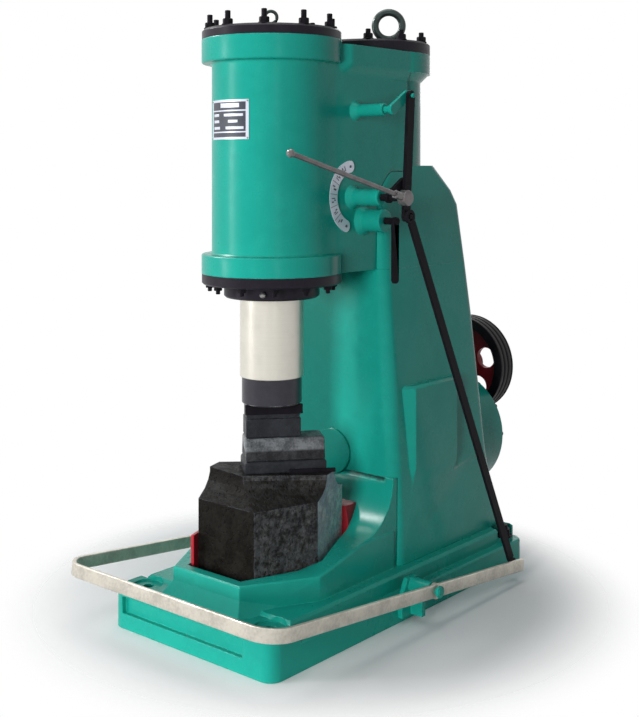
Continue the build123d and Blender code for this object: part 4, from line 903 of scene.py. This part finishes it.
    def bent_bar(self, left, right, bottom, top, outer, inner, steps=24):
        """A thin strip that follows the barrel between two angles and two heights."""
        ring = [(outer, bottom), (outer, top), (inner, top), (inner, bottom)]
        points = np.array([[(r * math.cos(a), r * math.sin(a), z) for r, z in ring]
                           for a in np.linspace(left, right, steps)])
        corners = len(ring)
        start = np.arange(corners)
        ends = np.stack([start, start + (steps - 1) * corners])
        return points, np.concatenate([node_faces(steps, corners, False, True), ends])


class HammerBlends(bpy.types.Operator):
    """Add the cast blends that run from the cylinders into the valve chest"""
    bl_idname = "hammer.blends"
    bl_label = "Blends"

    def execute(self, context):
        for side, name in ((1, "right"), (-1, "left")):
            self.add("barrel_blend_" + name, *self.barrel_blend(side))
            self.add("chest_band_" + name, *self.chest_band(side))
        return {"FINISHED"}

    def add(self, name, points, faces):
        obj = new_object(name, points, faces, MATERIALS["enamel"], 50.0)
        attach(obj, "frame")

    def barrel_blend(self, side):
        """Strip from flange to flange over the seam between barrel and chest.

        Seen from above it follows the barrel's circle, from just inside it to just outside it at its widest
        point, then eases back to the side of the chest as half a cosine wave.
        """
        y = np.linspace(BLEND_START_Y, BLEND_END_Y, 46)
        proud = BLEND_PROUD * np.clip(1 - y / BLEND_START_Y, 0, 1) - BLEND_SUNK
        x = np.sqrt(BARREL_R ** 2 - np.minimum(y, 0) ** 2) + proud - BLEND_DROP * eased(y / BLEND_END_Y)
        ring = np.concatenate([np.stack([x, y], 1), np.stack([x - BLEND_THICK, y], 1)[::-1]])
        points = np.array([[(px * side, py, z) for px, py in ring] for z in (BLEND_LOW, BLEND_HIGH)])
        count = len(ring)
        faces = node_faces(2, count, False, True).tolist()
        for k in range(count // 2 - 1):
            for start in (0, count):
                faces.append([start + k, start + k + 1, start + count - 2 - k, start + count - 1 - k])
        return points, faces

    def chest_band(self, side):
        """Thickened rim under the rear cover, drawn out of the chest's side.

        The height profile is a hollow curve below and straight above. Along the hammer its depth grows from
        nothing to the full band as half a cosine wave, then it runs level into the rear flange.
        """
        low, high = REAR_COVER_LOW - BAND_HEIGHT, REAR_COVER_LOW - BAND_GAP
        profile = [(BAND_DEPTH * eased(r), low + BAND_HOLLOW * r) for r in np.linspace(0, 1, 14)]
        profile += [(BAND_DEPTH, high), (-BAND_ROOT, high), (-BAND_ROOT, low)]
        y = np.concatenate([np.linspace(BAND_START_Y, BAND_FULL_Y, 14),
                            np.linspace(BAND_LEVEL_Y, BAND_END_Y, 12)])
        grow = eased((y - BAND_START_Y) / (BAND_FULL_Y - BAND_START_Y))
        points = np.array([[((CHEST_SIDE_X + (d * g if d > 0 else d)) * side, py, z) for d, z in profile]
                           for py, g in zip(y, grow)])
        count = len(profile)
        faces = node_faces(len(y), count, False, True).tolist()
        last = (len(y) - 1) * count
        faces += [list(range(last, last + count)), list(range(count))]
        return points, faces


class HammerStage(bpy.types.Operator):
    """Set the floor, the lights and the camera"""
    bl_idname = "hammer.stage"
    bl_label = "Stage"

    def execute(self, context):
        self.world(context)
        self.floor()
        self.lamps(context)
        self.camera(context)
        return {"FINISHED"}

    def world(self, context):
        """A white room to look at and to mirror, with a dimmer light for all else."""
        scene = context.scene
        scene.view_settings.view_transform = "Standard"
        world = bpy.data.worlds.new("Room")
        scene.world = world
        world.use_nodes = True
        tree = world.node_tree
        tree.nodes.clear()
        rays = tree.nodes.new("ShaderNodeLightPath")
        seen = math_node(tree, "MAXIMUM", rays.outputs["Is Camera Ray"], math_node(
            tree, "MAXIMUM", rays.outputs["Is Glossy Ray"], rays.outputs["Is Transmission Ray"]))
        dim = tree.nodes.new("ShaderNodeBackground")
        dim.inputs["Color"].default_value = (0.82, 0.95, 1.12, 1)
        dim.inputs["Strength"].default_value = scene.hammer_sizes.fill_level
        white = tree.nodes.new("ShaderNodeBackground")
        white.inputs["Color"].default_value = (1, 1, 1, 1)
        white.inputs["Strength"].default_value = 1.0
        join = tree.nodes.new("ShaderNodeMixShader")
        out = tree.nodes.new("ShaderNodeOutputWorld")
        tree.links.new(seen, join.inputs[0])
        tree.links.new(dim.outputs[0], join.inputs[1])
        tree.links.new(white.outputs[0], join.inputs[2])
        tree.links.new(join.outputs[0], out.inputs["Surface"])

    def floor(self):
        """A pale disc under the hammer, which fades out with the distance from its middle."""
        points, faces = turned([(radius, -0.0005) for radius in FLOOR_RADII], 96)
        material = bpy.data.materials.new("Pale floor")
        material.use_nodes = True
        tree = material.node_tree
        shader = tree.nodes["Principled BSDF"]
        shader.inputs["Base Color"].default_value = (0.9, 0.9, 0.9, 1)
        shader.inputs["Roughness"].default_value = 0.9
        shader.inputs["Specular IOR Level"].default_value = 0.0
        place = tree.nodes.new("ShaderNodeTexCoord").outputs["Object"]
        far = tree.nodes.new("ShaderNodeVectorMath")
        far.operation = "DISTANCE"
        far.inputs[1].default_value = FLOOR_CENTRE
        tree.links.new(place, far.inputs[0])
        clear = tree.nodes.new("ShaderNodeBsdfTransparent")
        join = tree.nodes.new("ShaderNodeMixShader")
        tree.links.new(ramp(tree, far.outputs["Value"], 0.68, 1.08), join.inputs[0])
        tree.links.new(shader.outputs[0], join.inputs[1])
        tree.links.new(clear.outputs[0], join.inputs[2])
        tree.links.new(join.outputs[0], tree.nodes["Material Output"].inputs["Surface"])
        obj = new_object("floor", points, faces, material)

    def lamps(self, context):
        power = context.scene.hammer_sizes.key_power
        self.lamp("Key", (1.55, -5.1, 1.3), power * 1.02, 1.2, 2.2, False)
        self.lamp("Left key", (-2.7, -4.6, 1.4), power * 0.48, 1.8, 2.2, False)
        self.lamp("Strip", (-3.2, -4.1, 1.65), power * 0.26, 0.4, 1.9)
        self.lamp("Thin strip", (4.0, -3.0, 1.65), power * 0.03, 0.2, 1.9)
        self.lamp("Top", (-0.4, 0.0, 5.0), power * 0.33, 2.6, 2.6)
        sheen = self.lamp("Sheen", (-2.4, -0.6, 3.3), power * 0.6, 0.85, 0.45)
        sheen.visible_diffuse = False
        self.lamp("Back", (-2.6, 4.0, 3.0), power * 0.20, 2.4, 2.4)

    def lamp(self, name, place, power, width, height, mirrored=True):
        """A flat lamp that faces the hammer, and shows in reflections if mirrored."""
        data = bpy.data.lights.new(name, "AREA")
        data.shape = "RECTANGLE"
        data.size = width
        data.size_y = height
        data.energy = power
        obj = bpy.data.objects.new(name, data)
        bpy.context.scene.collection.objects.link(obj)
        obj.location = place
        obj.visible_glossy = mirrored
        aim = Vector(LAMP_TARGET) - Vector(place)
        obj.rotation_euler = aim.to_track_quat("-Z", "Y").to_euler()
        return obj

    def camera(self, context):
        data = bpy.data.cameras.new("View")
        data.sensor_width = 36.0
        data.lens = VIEW_LENS
        data.shift_y = VIEW_SHIFT
        data.clip_end = 60.0
        obj = bpy.data.objects.new("View", data)
        context.scene.collection.objects.link(obj)
        obj.location = VIEW_FROM
        obj.rotation_euler = (math.radians(90), 0, math.radians(VIEW_TURN))
        context.scene.camera = obj


class HammerPanel(bpy.types.Panel):
    """The hammer's pieces, sizes and colours"""
    bl_idname = "VIEW3D_PT_hammer"
    bl_label = "Air forging hammer"
    bl_space_type = "VIEW_3D"
    bl_region_type = "UI"
    bl_category = "Hammer"

    def draw(self, context):
        layout = self.layout
        for operator in OPERATORS:
            layout.operator(operator.bl_idname)
        for group in (context.scene.hammer_sizes, context.scene.hammer_colours):
            for name in group.bl_rna.properties.keys():
                if name not in ("rna_type", "name"):
                    layout.prop(group, name)


OPERATORS = (HammerSkins, HammerFastenings, HammerPlates, HammerBlends, HammerStage)
CLASSES = (HammerColours, HammerSizes) + OPERATORS + (HammerPanel,)


def register():
    for one in CLASSES:
        bpy.utils.register_class(one)
    bpy.types.Scene.hammer_colours = bpy.props.PointerProperty(type=HammerColours)
    bpy.types.Scene.hammer_sizes = bpy.props.PointerProperty(type=HammerSizes)


def unregister():
    del bpy.types.Scene.hammer_sizes
    del bpy.types.Scene.hammer_colours
    for one in reversed(CLASSES):
        bpy.utils.unregister_class(one)


def main():
    register()
    bpy.ops.hammer.skins()
    bpy.ops.hammer.fastenings()
    bpy.ops.hammer.plates()
    bpy.ops.hammer.blends()
    bpy.ops.hammer.stage()
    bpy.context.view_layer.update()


if __name__ == "__main__":
    main()
